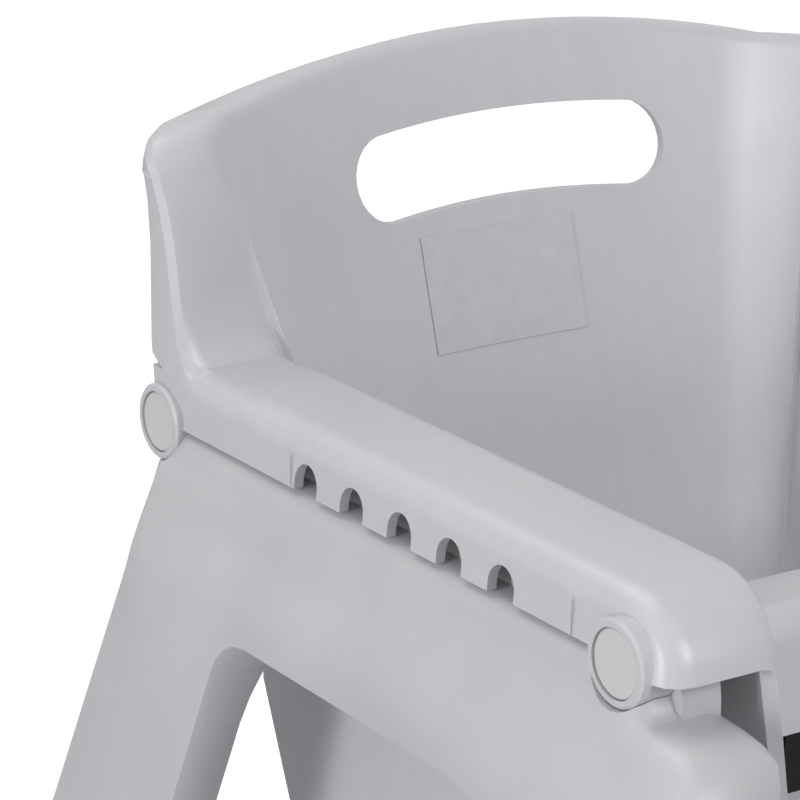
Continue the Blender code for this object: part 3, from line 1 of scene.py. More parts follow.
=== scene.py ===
import bpy
import math
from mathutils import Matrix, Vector


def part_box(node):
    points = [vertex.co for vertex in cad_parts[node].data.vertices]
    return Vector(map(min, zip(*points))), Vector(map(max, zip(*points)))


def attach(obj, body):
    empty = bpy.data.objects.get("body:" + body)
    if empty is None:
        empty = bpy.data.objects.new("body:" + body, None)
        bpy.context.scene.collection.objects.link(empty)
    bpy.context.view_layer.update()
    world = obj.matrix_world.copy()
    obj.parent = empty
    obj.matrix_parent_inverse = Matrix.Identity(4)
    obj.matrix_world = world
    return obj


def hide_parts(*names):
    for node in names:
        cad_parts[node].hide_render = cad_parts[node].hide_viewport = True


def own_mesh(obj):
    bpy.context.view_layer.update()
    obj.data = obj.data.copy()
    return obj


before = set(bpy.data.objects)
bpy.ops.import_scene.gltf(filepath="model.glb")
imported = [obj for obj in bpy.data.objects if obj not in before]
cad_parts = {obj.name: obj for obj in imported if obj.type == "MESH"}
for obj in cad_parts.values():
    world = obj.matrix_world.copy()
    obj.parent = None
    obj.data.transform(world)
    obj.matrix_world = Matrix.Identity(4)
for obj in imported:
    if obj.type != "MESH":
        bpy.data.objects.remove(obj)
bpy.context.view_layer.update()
scene = bpy.context.scene
scene.view_settings.view_transform = "Standard"


# small helpers for node trees

def addNode(tree, kind, place, **settings):
    node = tree.nodes.new(kind)
    node.location = place
    for name, value in settings.items():
        setattr(node, name, value)
    return node


def newGroup(name, kind, inputs, outputs):
    tree = bpy.data.node_groups.new(name, kind)
    for label, socketType, value in inputs:
        socket = tree.interface.new_socket(name=label, in_out="INPUT", socket_type=socketType)
        if value is not None:
            socket.default_value = value
    for label, socketType in outputs:
        tree.interface.new_socket(name=label, in_out="OUTPUT", socket_type=socketType)
    return tree, tree.nodes.new("NodeGroupInput"), tree.nodes.new("NodeGroupOutput")


def placeGroup(tree, group, place, values):
    node = addNode(tree, "ShaderNodeGroup", place, node_tree=group)
    for label, value in values.items():
        node.inputs[label].default_value = value
    return node


# grain of the mould: a fine satin texture with broad, faint clouds of tone

def buildMouldGrain():
    tree, source, result = newGroup(
        "mouldGrain", "ShaderNodeTree",
        (("Place", "NodeSocketVector", None), ("Grain Scale", "NodeSocketFloat", 1500.0),
         ("Cloud Scale", "NodeSocketFloat", 9.0), ("Streak Share", "NodeSocketFloat", 0.3)),
        (("Grain", "NodeSocketFloat"), ("Cloud", "NodeSocketFloat")))
    fine = addNode(tree, "ShaderNodeTexNoise", (-500, 200))
    fine.inputs["Detail"].default_value = 3.0
    fine.inputs["Roughness"].default_value = 0.6
    pits = addNode(tree, "ShaderNodeTexVoronoi", (-500, -60), feature="SMOOTH_F1")
    half = addNode(tree, "ShaderNodeMath", (-700, -60), operation="MULTIPLY")
    half.inputs[1].default_value = 0.35
    clouds = addNode(tree, "ShaderNodeTexNoise", (-500, -320))
    clouds.inputs["Detail"].default_value = 4.0
    stretch = addNode(tree, "ShaderNodeMapping", (-700, -560))
    stretch.inputs["Scale"].default_value = (110.0, 110.0, 5.0)  # flow marks run up the walls
    flow = addNode(tree, "ShaderNodeTexNoise", (-500, -560))
    flow.inputs["Scale"].default_value = 1.0
    flow.inputs["Detail"].default_value = 2.0
    grain = addNode(tree, "ShaderNodeMix", (-240, 100))
    grain.inputs["Factor"].default_value = 0.4
    cloud = addNode(tree, "ShaderNodeMix", (-240, -360))
    link = tree.links.new
    link(source.outputs["Place"], fine.inputs["Vector"])
    link(source.outputs["Grain Scale"], fine.inputs["Scale"])
    link(source.outputs["Place"], pits.inputs["Vector"])
    link(source.outputs["Grain Scale"], half.inputs[0])
    link(half.outputs[0], pits.inputs["Scale"])
    link(source.outputs["Place"], clouds.inputs["Vector"])
    link(source.outputs["Cloud Scale"], clouds.inputs["Scale"])
    link(source.outputs["Place"], stretch.inputs["Vector"])
    link(stretch.outputs["Vector"], flow.inputs["Vector"])
    link(fine.outputs[0], grain.inputs["A"])
    link(pits.outputs["Distance"], grain.inputs["B"])
    link(source.outputs["Streak Share"], cloud.inputs["Factor"])
    link(clouds.outputs[0], cloud.inputs["A"])
    link(flow.outputs[0], cloud.inputs["B"])
    link(grain.outputs["Result"], result.inputs["Grain"])
    link(cloud.outputs["Result"], result.inputs["Cloud"])
    return tree


# wear: edges rubbed paler, with broken patches

def buildEdgeRub():
    tree, source, result = newGroup(
        "edgeRub", "ShaderNodeTree",
        (("Place", "NodeSocketVector", None), ("Reach", "NodeSocketFloat", 0.0015),
         ("Patch Scale", "NodeSocketFloat", 60.0)),
        (("Rub", "NodeSocketFloat"),))
    soft = addNode(tree, "ShaderNodeBevel", (-700, 120), samples=2)
    true = addNode(tree, "ShaderNodeNewGeometry", (-700, -80))
    turn = addNode(tree, "ShaderNodeVectorMath", (-500, 60), operation="DOT_PRODUCT")
    spread = addNode(tree, "ShaderNodeMapRange", (-300, 60))
    spread.inputs["From Min"].default_value = 0.995
    spread.inputs["From Max"].default_value = 0.90
    patches = addNode(tree, "ShaderNodeTexNoise", (-500, -220))
    patches.inputs["Detail"].default_value = 5.0
    broken = addNode(tree, "ShaderNodeMapRange", (-300, -220))
    broken.inputs["From Min"].default_value = 0.42
    broken.inputs["From Max"].default_value = 0.68
    both = addNode(tree, "ShaderNodeMath", (-100, 0), operation="MULTIPLY")
    link = tree.links.new
    link(source.outputs["Reach"], soft.inputs["Radius"])
    link(soft.outputs["Normal"], turn.inputs[0])
    link(true.outputs["Normal"], turn.inputs[1])
    link(turn.outputs["Value"], spread.inputs["Value"])
    link(source.outputs["Place"], patches.inputs["Vector"])
    link(source.outputs["Patch Scale"], patches.inputs["Scale"])
    link(patches.outputs[0], broken.inputs["Value"])
    link(spread.outputs["Result"], both.inputs[0])
    link(broken.outputs["Result"], both.inputs[1])
    link(both.outputs[0], result.inputs["Rub"])
    return tree


# handling: faint smears that change the gloss, and fine hairline scuffs

def buildHandling():
    tree, source, result = newGroup(
        "handling", "ShaderNodeTree",
        (("Place", "NodeSocketVector", None), ("Smear Scale", "NodeSocketFloat", 16.0),
         ("Low", "NodeSocketFloat", 0.4), ("High", "NodeSocketFloat", 0.5)),
        (("Gloss", "NodeSocketFloat"), ("Scuff", "NodeSocketFloat")))
    smear = addNode(tree, "ShaderNodeTexNoise", (-500, 120))
    smear.inputs["Detail"].default_value = 6.0
    smear.inputs["Distortion"].default_value = 0.8
    level = addNode(tree, "ShaderNodeMapRange", (-260, 120))
    level.inputs["From Min"].default_value = 0.3
    level.inputs["From Max"].default_value = 0.7
    lines = addNode(tree, "ShaderNodeTexVoronoi", (-500, -160), feature="DISTANCE_TO_EDGE")
    lines.inputs["Scale"].default_value = 22.0
    thin = addNode(tree, "ShaderNodeMapRange", (-260, -160))
    thin.inputs["From Min"].default_value = 0.008
    thin.inputs["From Max"].default_value = 0.0
    link = tree.links.new
    link(source.outputs["Place"], smear.inputs["Vector"])
    link(source.outputs["Smear Scale"], smear.inputs["Scale"])
    link(smear.outputs[0], level.inputs["Value"])
    link(source.outputs["Low"], level.inputs["To Min"])
    link(source.outputs["High"], level.inputs["To Max"])
    link(source.outputs["Place"], lines.inputs["Vector"])
    link(lines.outputs["Distance"], thin.inputs["Value"])
    link(level.outputs["Result"], result.inputs["Gloss"])
    link(thin.outputs["Result"], result.inputs["Scuff"])
    return tree


mouldGrain = buildMouldGrain()
edgeRub = buildEdgeRub()
handling = buildHandling()


def mouldedPlastic(name, look):
    made = bpy.data.materials.new(name)
    made.use_nodes = True
    tree = made.node_tree
    shader = tree.nodes["Principled BSDF"]
    place = addNode(tree, "ShaderNodeTexCoord", (-1300, 0))
    grain = placeGroup(tree, mouldGrain, (-1050, 260), {
        "Grain Scale": look["grainScale"], "Cloud Scale": look["cloudScale"],
        "Streak Share": look["streakShare"]})
    rub = placeGroup(tree, edgeRub, (-1050, 0), {"Reach": look["rubReach"], "Patch Scale": look["patchScale"]})
    touch = placeGroup(tree, handling, (-1050, -260), {
        "Smear Scale": look["smearScale"], "Low": look["glossLow"], "High": look["glossHigh"]})
    tone = addNode(tree, "ShaderNodeMapRange", (-820, 260))
    tone.inputs["From Min"].default_value = 0.32
    tone.inputs["From Max"].default_value = 0.68
    body = addNode(tree, "ShaderNodeMix", (-600, 260), data_type="RGBA")
    body.inputs["A"].default_value = (*look["shade"], 1)
    body.inputs["B"].default_value = (*look["tint"], 1)
    worn = addNode(tree, "ShaderNodeMix", (-380, 200), data_type="RGBA")
    worn.inputs["B"].default_value = (*look["rubbed"], 1)
    wear = addNode(tree, "ShaderNodeMath", (-600, 0), operation="MULTIPLY")
    wear.inputs[1].default_value = look["wear"]
    dent = addNode(tree, "ShaderNodeMath", (-600, -420), operation="MULTIPLY_ADD")
    dent.inputs[1].default_value = -look["scuff"]
    bump = addNode(tree, "ShaderNodeBump", (-380, -380))
    bump.inputs["Strength"].default_value = look["relief"]
    bump.inputs["Distance"].default_value = look["depth"]
    link = tree.links.new
    for group in (grain, rub, touch):
        link(place.outputs["Object"], group.inputs["Place"])
    link(grain.outputs["Cloud"], tone.inputs["Value"])
    link(tone.outputs["Result"], body.inputs["Factor"])
    link(body.outputs["Result"], worn.inputs["A"])
    link(rub.outputs["Rub"], wear.inputs[0])
    link(wear.outputs[0], worn.inputs["Factor"])
    link(worn.outputs["Result"], shader.inputs["Base Color"])
    link(touch.outputs["Gloss"], shader.inputs["Roughness"])
    link(touch.outputs["Scuff"], dent.inputs[0])
    link(grain.outputs["Grain"], dent.inputs[2])
    link(dent.outputs[0], bump.inputs["Height"])
    link(bump.outputs["Normal"], shader.inputs["Normal"])
    shader.inputs["Specular IOR Level"].default_value = look["specular"]
    shader.inputs["Metallic"].default_value = look.get("metallic", 0.0)
    made.diffuse_color = (*look["tint"], 1)
    return made


def shaded(look, **changes):
    return {**look, **changes}


# seat shell, leg frames, caps and beams are one light grey family; the rest changes its values

shellLook = {
    "shade": (0.535, 0.537, 0.562),
    "tint": (0.575, 0.577, 0.600),
    "rubbed": (0.66, 0.66, 0.68),
    "wear": 0.35,
    "rubReach": 0.0016,
    "patchScale": 55.0,
    "grainScale": 1500.0,
    "cloudScale": 9.0,
    "streakShare": 0.35,
    "smearScale": 14.0,
    "glossLow": 0.28,
    "glossHigh": 0.38,
    "specular": 0.5,
    "scuff": 0.25,
    "relief": 0.20,
    "depth": 0.00006,
}
shellPlastic = mouldedPlastic("shellPlastic", shellLook)
framePlastic = mouldedPlastic("framePlastic", shaded(
    shellLook, shade=(0.500, 0.496, 0.520), tint=(0.548, 0.544, 0.566), cloudScale=13.0, streakShare=0.1,
    grainScale=1100.0, relief=0.32, glossLow=0.34, glossHigh=0.45))
capPlastic = mouldedPlastic("capPlastic", shaded(
    shellLook, shade=(0.575, 0.572, 0.570), tint=(0.612, 0.610, 0.608), cloudScale=40.0, streakShare=0.0,
    rubReach=0.0008))
beamPlastic = mouldedPlastic("beamPlastic", shaded(
    shellLook, shade=(0.505, 0.503, 0.524), tint=(0.548, 0.546, 0.566), cloudScale=16.0, streakShare=0.0))
glideRubber = mouldedPlastic("glideRubber", {
    **shellLook, "shade": (0.030, 0.030, 0.031), "tint": (0.050, 0.050, 0.052), "rubbed": (0.14, 0.14, 0.14),
    "wear": 0.7, "grainScale": 900.0, "glossLow": 0.62, "glossHigh": 0.80, "relief": 0.5, "depth": 0.0001,
    "specular": 0.35})
buckleResin = mouldedPlastic("buckleResin", {
    **shellLook, "shade": (0.011, 0.011, 0.012), "tint": (0.020, 0.020, 0.022), "rubbed": (0.10, 0.10, 0.10),
    "wear": 0.45, "rubReach": 0.0007, "grainScale": 2200.0, "glossLow": 0.38, "glossHigh": 0.55, "relief": 0.3})
zincSteel = mouldedPlastic("zincSteel", {
    **shellLook, "shade": (0.52, 0.53, 0.54), "tint": (0.64, 0.65, 0.66), "rubbed": (0.80, 0.80, 0.80),
    "wear": 0.6, "rubReach": 0.0006, "grainScale": 3000.0, "cloudScale": 120.0, "streakShare": 0.0,
    "glossLow": 0.24, "glossHigh": 0.42, "relief": 0.12, "metallic": 1.0})
labelFilm = mouldedPlastic("labelFilm", shaded(
    shellLook, shade=(0.528, 0.532, 0.553), tint=(0.562, 0.566, 0.584), cloudScale=150.0, streakShare=0.0,
    grainScale=420.0, glossLow=0.24, glossHigh=0.36, relief=0.10, wear=0.25, rubReach=0.0006, scuff=0.3))
print("plastics, rubber and steel ready")


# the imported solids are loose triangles, so each is joined and shaded soft, with its hard edges kept

def buildSoftShading():
    tree, source, result = newGroup(
        "softShading", "GeometryNodeTree",
        (("Geometry", "NodeSocketGeometry", None), ("Join", "NodeSocketFloat", 0.00002),
         ("Hard Angle", "NodeSocketFloat", 0.6)),
        (("Geometry", "NodeSocketGeometry"),))
    join = addNode(tree, "GeometryNodeMergeByDistance", (-600, 0))
    soft = addNode(tree, "GeometryNodeSetShadeSmooth", (-400, 0), domain="FACE")
    angle = addNode(tree, "GeometryNodeInputMeshEdgeAngle", (-600, -240))
    hard = addNode(tree, "FunctionNodeCompare", (-400, -240), data_type="FLOAT", operation="LESS_EQUAL")
    edges = addNode(tree, "GeometryNodeSetShadeSmooth", (-200, 0), domain="EDGE")
    link = tree.links.new
    link(source.outputs["Geometry"], join.inputs["Geometry"])
    link(source.outputs["Join"], join.inputs["Distance"])
    link(join.outputs["Geometry"], soft.inputs["Geometry"])
    link(angle.outputs["Unsigned Angle"], hard.inputs["A"])
    link(source.outputs["Hard Angle"], hard.inputs["B"])
    link(soft.outputs["Geometry"], edges.inputs["Geometry"])
    link(hard.outputs["Result"], edges.inputs["Shade Smooth"])
    link(edges.outputs["Geometry"], result.inputs["Geometry"])
    return tree


def socketOf(tree, label):
    sockets = tree.interface.items_tree
    return next(item.identifier for item in sockets if item.name == label and item.in_out == "INPUT")


shading = {"joinWithin": 0.00002, "hardAngle": 38.0}
softShading = buildSoftShading()
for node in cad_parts.values():
    soften = node.modifiers.new("softShading", "NODES")
    soften.node_group = softShading
    soften[socketOf(softShading, "Join")] = shading["joinWithin"]
    soften[socketOf(softShading, "Hard Angle")] = math.radians(shading["hardAngle"])
print("solids shaded soft")

finishByWord = (
    ("leg_frame", framePlastic), ("cap_", capPlastic), ("_nut", zincSteel), ("_bolt", zincSteel),
    ("washer", zincSteel), ("screw", zincSteel), ("anchor_plate", zincSteel), ("glide", glideRubber),
    ("buckle", buckleResin), ("adjuster", buckleResin), ("label", labelFilm), ("footrest", beamPlastic),
    ("brace", beamPlastic), ("seat_shell", shellPlastic))
for nodeName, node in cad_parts.items():
    finish = next((look for word, look in finishByWord if word in nodeName), None)
    if finish:
        node.data.materials.clear()
        node.data.materials.append(finish)
print("finishes given to the frame's nodes")


# harness webbing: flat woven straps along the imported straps' own runs

def buildWebbingMaterial(look):
    made = bpy.data.materials.new("webbingWeave")
    made.use_nodes = True
    tree = made.node_tree
    shader = tree.nodes["Principled BSDF"]
    cloth = addNode(tree, "ShaderNodeUVMap", (-1300, 100), uv_map="weave")
    split = addNode(tree, "ShaderNodeSeparateXYZ", (-1120, 100))
    ribs = addNode(tree, "ShaderNodeMath", (-940, 200), operation="MULTIPLY")
    ribs.inputs[1].default_value = math.tau / look["ribPitch"]
    rows = addNode(tree, "ShaderNodeMath", (-940, 0), operation="MULTIPLY")
    rows.inputs[1].default_value = math.tau / look["rowPitch"]
    slant = addNode(tree, "ShaderNodeMath", (-760, -60), operation="MULTIPLY_ADD")
    slant.inputs[1].default_value = 0.5
    across = addNode(tree, "ShaderNodeMath", (-580, 200), operation="SINE")
    along = addNode(tree, "ShaderNodeMath", (-580, -60), operation="SINE")
    weave = addNode(tree, "ShaderNodeMath", (-400, 80), operation="MULTIPLY_ADD")
    weave.inputs[1].default_value = 0.6
    fuzz = addNode(tree, "ShaderNodeTexNoise", (-760, -320))
    fuzz.inputs["Scale"].default_value = 5200.0
    fuzz.inputs["Detail"].default_value = 4.0
    raised = addNode(tree, "ShaderNodeMapRange", (-200, 80))
    raised.inputs["From Min"].default_value = -1.6
    raised.inputs["From Max"].default_value = 1.6
    # the colour follows the weave's relief: painted shade in its low parts and painted light on the raised yarn
    paintedWeaveShade = addNode(tree, "ShaderNodeMix", (0, 200), data_type="RGBA")
    paintedWeaveShade.inputs["A"].default_value = (*look["shade"], 1)
    paintedWeaveShade.inputs["B"].default_value = (*look["tint"], 1)
    rough = addNode(tree, "ShaderNodeMapRange", (-200, -200))
    rough.inputs["To Min"].default_value = 0.62
    rough.inputs["To Max"].default_value = 0.85
    height = addNode(tree, "ShaderNodeMath", (-200, -420), operation="MULTIPLY_ADD")
    height.inputs[1].default_value = 0.35
    bump = addNode(tree, "ShaderNodeBump", (0, -300))
    bump.inputs["Strength"].default_value = 0.8
    bump.inputs["Distance"].default_value = look["depth"]
    link = tree.links.new
    link(cloth.outputs["UV"], split.inputs[0])
    link(split.outputs["X"], ribs.inputs[0])
    link(split.outputs["Y"], rows.inputs[0])
    link(ribs.outputs[0], across.inputs[0])
    link(ribs.outputs[0], slant.inputs[0])
    link(rows.outputs[0], slant.inputs[2])
    link(slant.outputs[0], along.inputs[0])
    link(across.outputs[0], weave.inputs[2])
    link(along.outputs[0], weave.inputs[0])
    link(weave.outputs[0], raised.inputs["Value"])
    link(cloth.outputs["UV"], fuzz.inputs["Vector"])
    link(raised.outputs["Result"], paintedWeaveShade.inputs["Factor"])
    link(paintedWeaveShade.outputs["Result"], shader.inputs["Base Color"])
    link(fuzz.outputs[0], rough.inputs["Value"])
    link(rough.outputs["Result"], shader.inputs["Roughness"])
    link(fuzz.outputs[0], height.inputs[0])
    link(raised.outputs["Result"], height.inputs[2])
    link(height.outputs[0], bump.inputs["Height"])
    link(bump.outputs["Normal"], shader.inputs["Normal"])
    shader.inputs["Sheen Weight"].default_value = 0.25
    shader.inputs["Sheen Roughness"].default_value = 0.4
    made.diffuse_color = (*look["tint"], 1)
    return made


webbing = {
    "thick": 0.0016,
    "sharpAngle": 50.0,
    "stepsBetween": 3,
    "acrossRuns": 8,
    "ribPitch": 0.0018,
    "rowPitch": 0.0013,
    "depth": 0.00022,
    # the strap's black, painted darker (shade) in the weave's low parts and lighter (tint) on its raised yarn
    "shade": (0.006, 0.0065, 0.007),
    "tint": (0.026, 0.027, 0.029),
}
webbingWeave = buildWebbingMaterial(webbing)


def densePath(points, steps):
    dense = []
    last = len(points) - 1
    for i in range(last):
        before, first = points[max(i - 1, 0)], points[i]
        second, after = points[i + 1], points[min(i + 2, last)]
        for k in range(steps):
            t = k / steps
            bend = 2 * before - 5 * first + 4 * second - after
            twist = 3 * first - before - 3 * second + after
            dense.append(0.5 * (2 * first + (second - before) * t + bend * t * t + twist * t ** 3))
    dense.append(points[-1])
    return dense


def ribbonPiece(name, centres, acrosses, width, look):
    thick, runs = look["thick"], look["acrossRuns"]
    profile = []  # round the strap's section: up the face, over the edge, down the back
    for i in range(runs + 1):
        profile.append((width * (i / runs - 0.5), thick / 2 if 0 < i < runs else thick / 4))
    profile += [(x, -y) for x, y in reversed(profile)]
    points, travel = [], [0.0]
    for i, centre in enumerate(centres):
        if i:
            travel.append(travel[-1] + (centre - centres[i - 1]).length)
        ahead = (centres[min(i + 1, len(centres) - 1)] - centres[max(i - 1, 0)]).normalized()
        across = acrosses[i].normalized()
        out = ahead.cross(across).normalized()
        points += [centre + across * x + out * y for x, y in profile]
    count = len(profile)
    faces = []
    for i in range(len(centres) - 1):
        for k in range(count):
            low, high = i * count, (i + 1) * count
            faces.append((low + k, low + (k + 1) % count, high + (k + 1) % count, high + k))
    faces.append(tuple(reversed(range(count))))
    faces.append(tuple(range(len(points) - count, len(points))))
    mesh = bpy.data.meshes.new(name)
    mesh.from_pydata([tuple(p) for p in points], [], faces)
    layer = mesh.uv_layers.new(name="weave")
    for loop in mesh.loops:
        ring, k = divmod(loop.vertex_index, count)
        layer.data[loop.index].uv = (profile[k][0], travel[ring])
    mesh.shade_smooth()
    mesh.set_sharp_from_angle(angle=math.radians(look["sharpAngle"]))
    mesh.materials.append(webbingWeave)
    piece = bpy.data.objects.new(name, mesh)
    scene.collection.objects.link(piece)
    return piece


def outward(piece):
    volume = 0.0
    mesh = piece.data
    mesh.calc_loop_triangles()
    for tri in mesh.loop_triangles:
        a, b, c = (mesh.vertices[i].co for i in tri.vertices)
        volume += a.dot(b.cross(c))
    if volume < 0:
        mesh.flip_normals()
    return piece


lapStrap = {
    "height": 0.531,
    "width": 0.030,
    "wallLean": 0.0487,
    "run": (  # plan points from the screw round the eye and back
        (0.1281, 0.0200), (0.1281, -0.0080), (0.1281, -0.0250), (0.1269, -0.0414), (0.1235, -0.0568),
        (0.1183, -0.0707), (0.1113, -0.0829), (0.1029, -0.0930), (0.0934, -0.1006), (0.0830, -0.1054),
        (0.0720, -0.1071), (0.0520, -0.1071), (0.0320, -0.1071), (0.0305, -0.1074), (0.0292, -0.1082),
        (0.0284, -0.1095), (0.0281, -0.1110), (0.0284, -0.1125), (0.0292, -0.1138), (0.0305, -0.1146),
        (0.0320, -0.1149), (0.0500, -0.1149), (0.0660, -0.1149)),
    "straightFrom": 10,  # the point where the bow ends
    "wallBox": (0.0182, -0.0062),  # box stitches, from rear to front on the wall
    "buckleBox": (0.0565, 0.0645),  # box stitches on the tail, from the buckle outwards
    "boxHalf": 0.0125,
}


def lapRun(side, z, look):
    lean = look["wallLean"] * (z - look["height"])
    near, far = look["run"][look["straightFrom"]][0], look["run"][0][0]
    points = []
    for x, y in look["run"]:
        share = min(max((x - near) / (far - near), 0), 1)
        points.append(Vector((side * (x + lean * share), y, z)))
    return densePath(points, webbing["stepsBetween"])


def lapWebbing(name, side):
    half = lapStrap["width"] / 2
    low = lapRun(side, lapStrap["height"] - half, lapStrap)
    high = lapRun(side, lapStrap["height"] + half, lapStrap)
    centres = [(a + b) / 2 for a, b in zip(low, high)]
    acrosses = [b - a for a, b in zip(low, high)]
    return outward(ribbonPiece(name, centres, acrosses, lapStrap["width"], webbing))


crotchStrap = {
    "width": 0.022,
    "run": (  # side points from the anchor plate round the tongue's eye and back
        (-0.0831, 0.4871), (-0.0931, 0.4871), (-0.1031, 0.4871), (-0.1048, 0.4873), (-0.1061, 0.4881),
        (-0.1068, 0.4894), (-0.1071, 0.4911), (-0.1071, 0.4990), (-0.1071, 0.5077), (-0.1074, 0.5092),
        (-0.1082, 0.5105), (-0.1095, 0.5113), (-0.1110, 0.5116), (-0.1125, 0.5113), (-0.1138, 0.5105),
        (-0.1146, 0.5092), (-0.1149, 0.5077), (-0.1149, 0.4957)),
    "seamBox": (0.4968, 0.5062),
    "seamHalf": 0.0088,
    "joint": "buckle_release",
    "travel": 0.018,
}


def crotchWebbing():
    centres = densePath([Vector((0, y, z)) for y, z in crotchStrap["run"]], webbing["stepsBetween"])
    acrosses = [Vector((1, 0, 0))] * len(centres)
    return outward(ribbonPiece("crotchWebbing", centres, acrosses, crotchStrap["width"], webbing))


lapPieces = {}
for side, word in ((-1, "Left"), (1, "Right")):
    lapPieces[word] = lapWebbing("lapWebbing" + word, side)
    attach(lapPieces[word], "chair")
    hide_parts("lap_strap_" + word.lower())
crotchPiece = crotchWebbing()
print("webbing laid along its runs")


# stitches: short threads along every seam line, placed by a node tree

def buildStitchTree():
    tree, source, result = newGroup(
        "stitchRun", "GeometryNodeTree",
        (("Geometry", "NodeSocketGeometry", None), ("Pitch", "NodeSocketFloat", 0.0026),
         ("Length", "NodeSocketFloat", 0.0009), ("Radius", "NodeSocketFloat", 0.00024),
         ("Thread", "NodeSocketMaterial", None)),
        (("Geometry", "NodeSocketGeometry"),))
    toCurve = addNode(tree, "GeometryNodeMeshToCurve", (-800, 0))
    spaced = addNode(tree, "GeometryNodeCurveToPoints", (-600, 0), mode="LENGTH")
    thread = addNode(tree, "GeometryNodeMeshIcoSphere", (-800, -240))
    thread.inputs["Subdivisions"].default_value = 2
    thread.inputs["Radius"].default_value = 1.0
    size = addNode(tree, "ShaderNodeCombineXYZ", (-600, -400))
    shape = addNode(tree, "GeometryNodeTransform", (-400, -240))
    scatter = addNode(tree, "GeometryNodeInstanceOnPoints", (-200, 0))
    real = addNode(tree, "GeometryNodeRealizeInstances", (0, 0))
    smooth = addNode(tree, "GeometryNodeSetShadeSmooth", (180, 0))
    paint = addNode(tree, "GeometryNodeSetMaterial", (360, 0))
    link = tree.links.new
    link(source.outputs["Geometry"], toCurve.inputs[0])
    link(toCurve.outputs[0], spaced.inputs["Curve"])
    link(source.outputs["Pitch"], spaced.inputs["Length"])
    link(source.outputs["Radius"], size.inputs["X"])
    link(source.outputs["Radius"], size.inputs["Y"])
    link(source.outputs["Length"], size.inputs["Z"])
    link(thread.outputs["Mesh"], shape.inputs["Geometry"])
    link(size.outputs[0], shape.inputs["Scale"])
    link(spaced.outputs["Points"], scatter.inputs["Points"])
    link(spaced.outputs["Rotation"], scatter.inputs["Rotation"])
    link(shape.outputs["Geometry"], scatter.inputs["Instance"])
    link(scatter.outputs["Instances"], real.inputs["Geometry"])
    link(real.outputs["Geometry"], smooth.inputs["Geometry"])
    link(smooth.outputs["Geometry"], paint.inputs["Geometry"])
    link(source.outputs["Thread"], paint.inputs["Material"])
    link(paint.outputs["Geometry"], result.inputs["Geometry"])
    return tree


stitching = {
    "pitch": 0.0024,
    "length": 0.00095,
    "radius": 0.00022,
    "proud": 0.00008,
}
threadNylon = mouldedPlastic("threadNylon", shaded(
    shellLook, shade=(0.020, 0.021, 0.022), tint=(0.040, 0.041, 0.044), rubbed=(0.08, 0.08, 0.08),
    grainScale=6000.0, glossLow=0.55, glossHigh=0.7, rubReach=0.0002))
stitchTree = buildStitchTree()


def treePiece(name, lines, tree, values):
    points, edges = [], []
    for line in lines:
        start = len(points)
        points += [tuple(p) for p in line]
        edges += [(start + i, start + i + 1) for i in range(len(line) - 1)]
    mesh = bpy.data.meshes.new(name + "Lines")
    mesh.from_pydata(points, edges, [])
    guide = bpy.data.objects.new(name + "Guide", mesh)
    scene.collection.objects.link(guide)
    nodes = guide.modifiers.new("nodes", "NODES")
    nodes.node_group = tree
    for label, value in values.items():
        nodes[socketOf(tree, label)] = value
    bpy.context.view_layer.update()
    made = bpy.data.meshes.new_from_object(guide.evaluated_get(bpy.context.evaluated_depsgraph_get()))
    made.name = name
    bpy.data.objects.remove(guide, do_unlink=True)
    piece = bpy.data.objects.new(name, made)
    scene.collection.objects.link(piece)
    return piece


def boxSeam(place, near, far, low, high):
    a, b, c, d = place(near, low), place(near, high), place(far, high), place(far, low)
    return [[a, b], [b, c], [c, d], [d, a], [a, c], [b, d]]  # a box with its cross


def seamPiece(name, lines):
    return treePiece(name, lines, stitchTree, {
        "Pitch": stitching["pitch"], "Length": stitching["length"], "Radius": stitching["radius"],
        "Thread": threadNylon})


for side, word in ((-1, "Left"), (1, "Right")):
    face = webbing["thick"] / 2 + stitching["proud"]
    wall = side * (lapStrap["run"][0][0] - face)
    front = lapStrap["run"][-1][1] - face
    heights = (lapStrap["height"] - lapStrap["boxHalf"], lapStrap["height"] + lapStrap["boxHalf"])
    lines = boxSeam(lambda y, z: Vector((wall, y, z)), *lapStrap["wallBox"], *heights)
    lines += boxSeam(lambda x, z: Vector((side * x, front, z)), *lapStrap["buckleBox"], *heights)
    seams = seamPiece("lapStitches" + word, lines)
    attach(seams, "chair")
front = crotchStrap["run"][-1][0] - webbing["thick"] / 2 - stitching["proud"]
seamHalf = crotchStrap["seamHalf"]
crotchSeam = seamPiece("crotchStitches", boxSeam(
    lambda z, x: Vector((x, front, z)), *crotchStrap["seamBox"], -seamHalf, seamHalf))
for piece in (crotchPiece, crotchSeam):
    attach(piece, "chair")
for piece in (crotchPiece, crotchSeam):
    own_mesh(piece)
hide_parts("crotch_strap")
print("harness stitched")


# grip ribs on the buckle's button

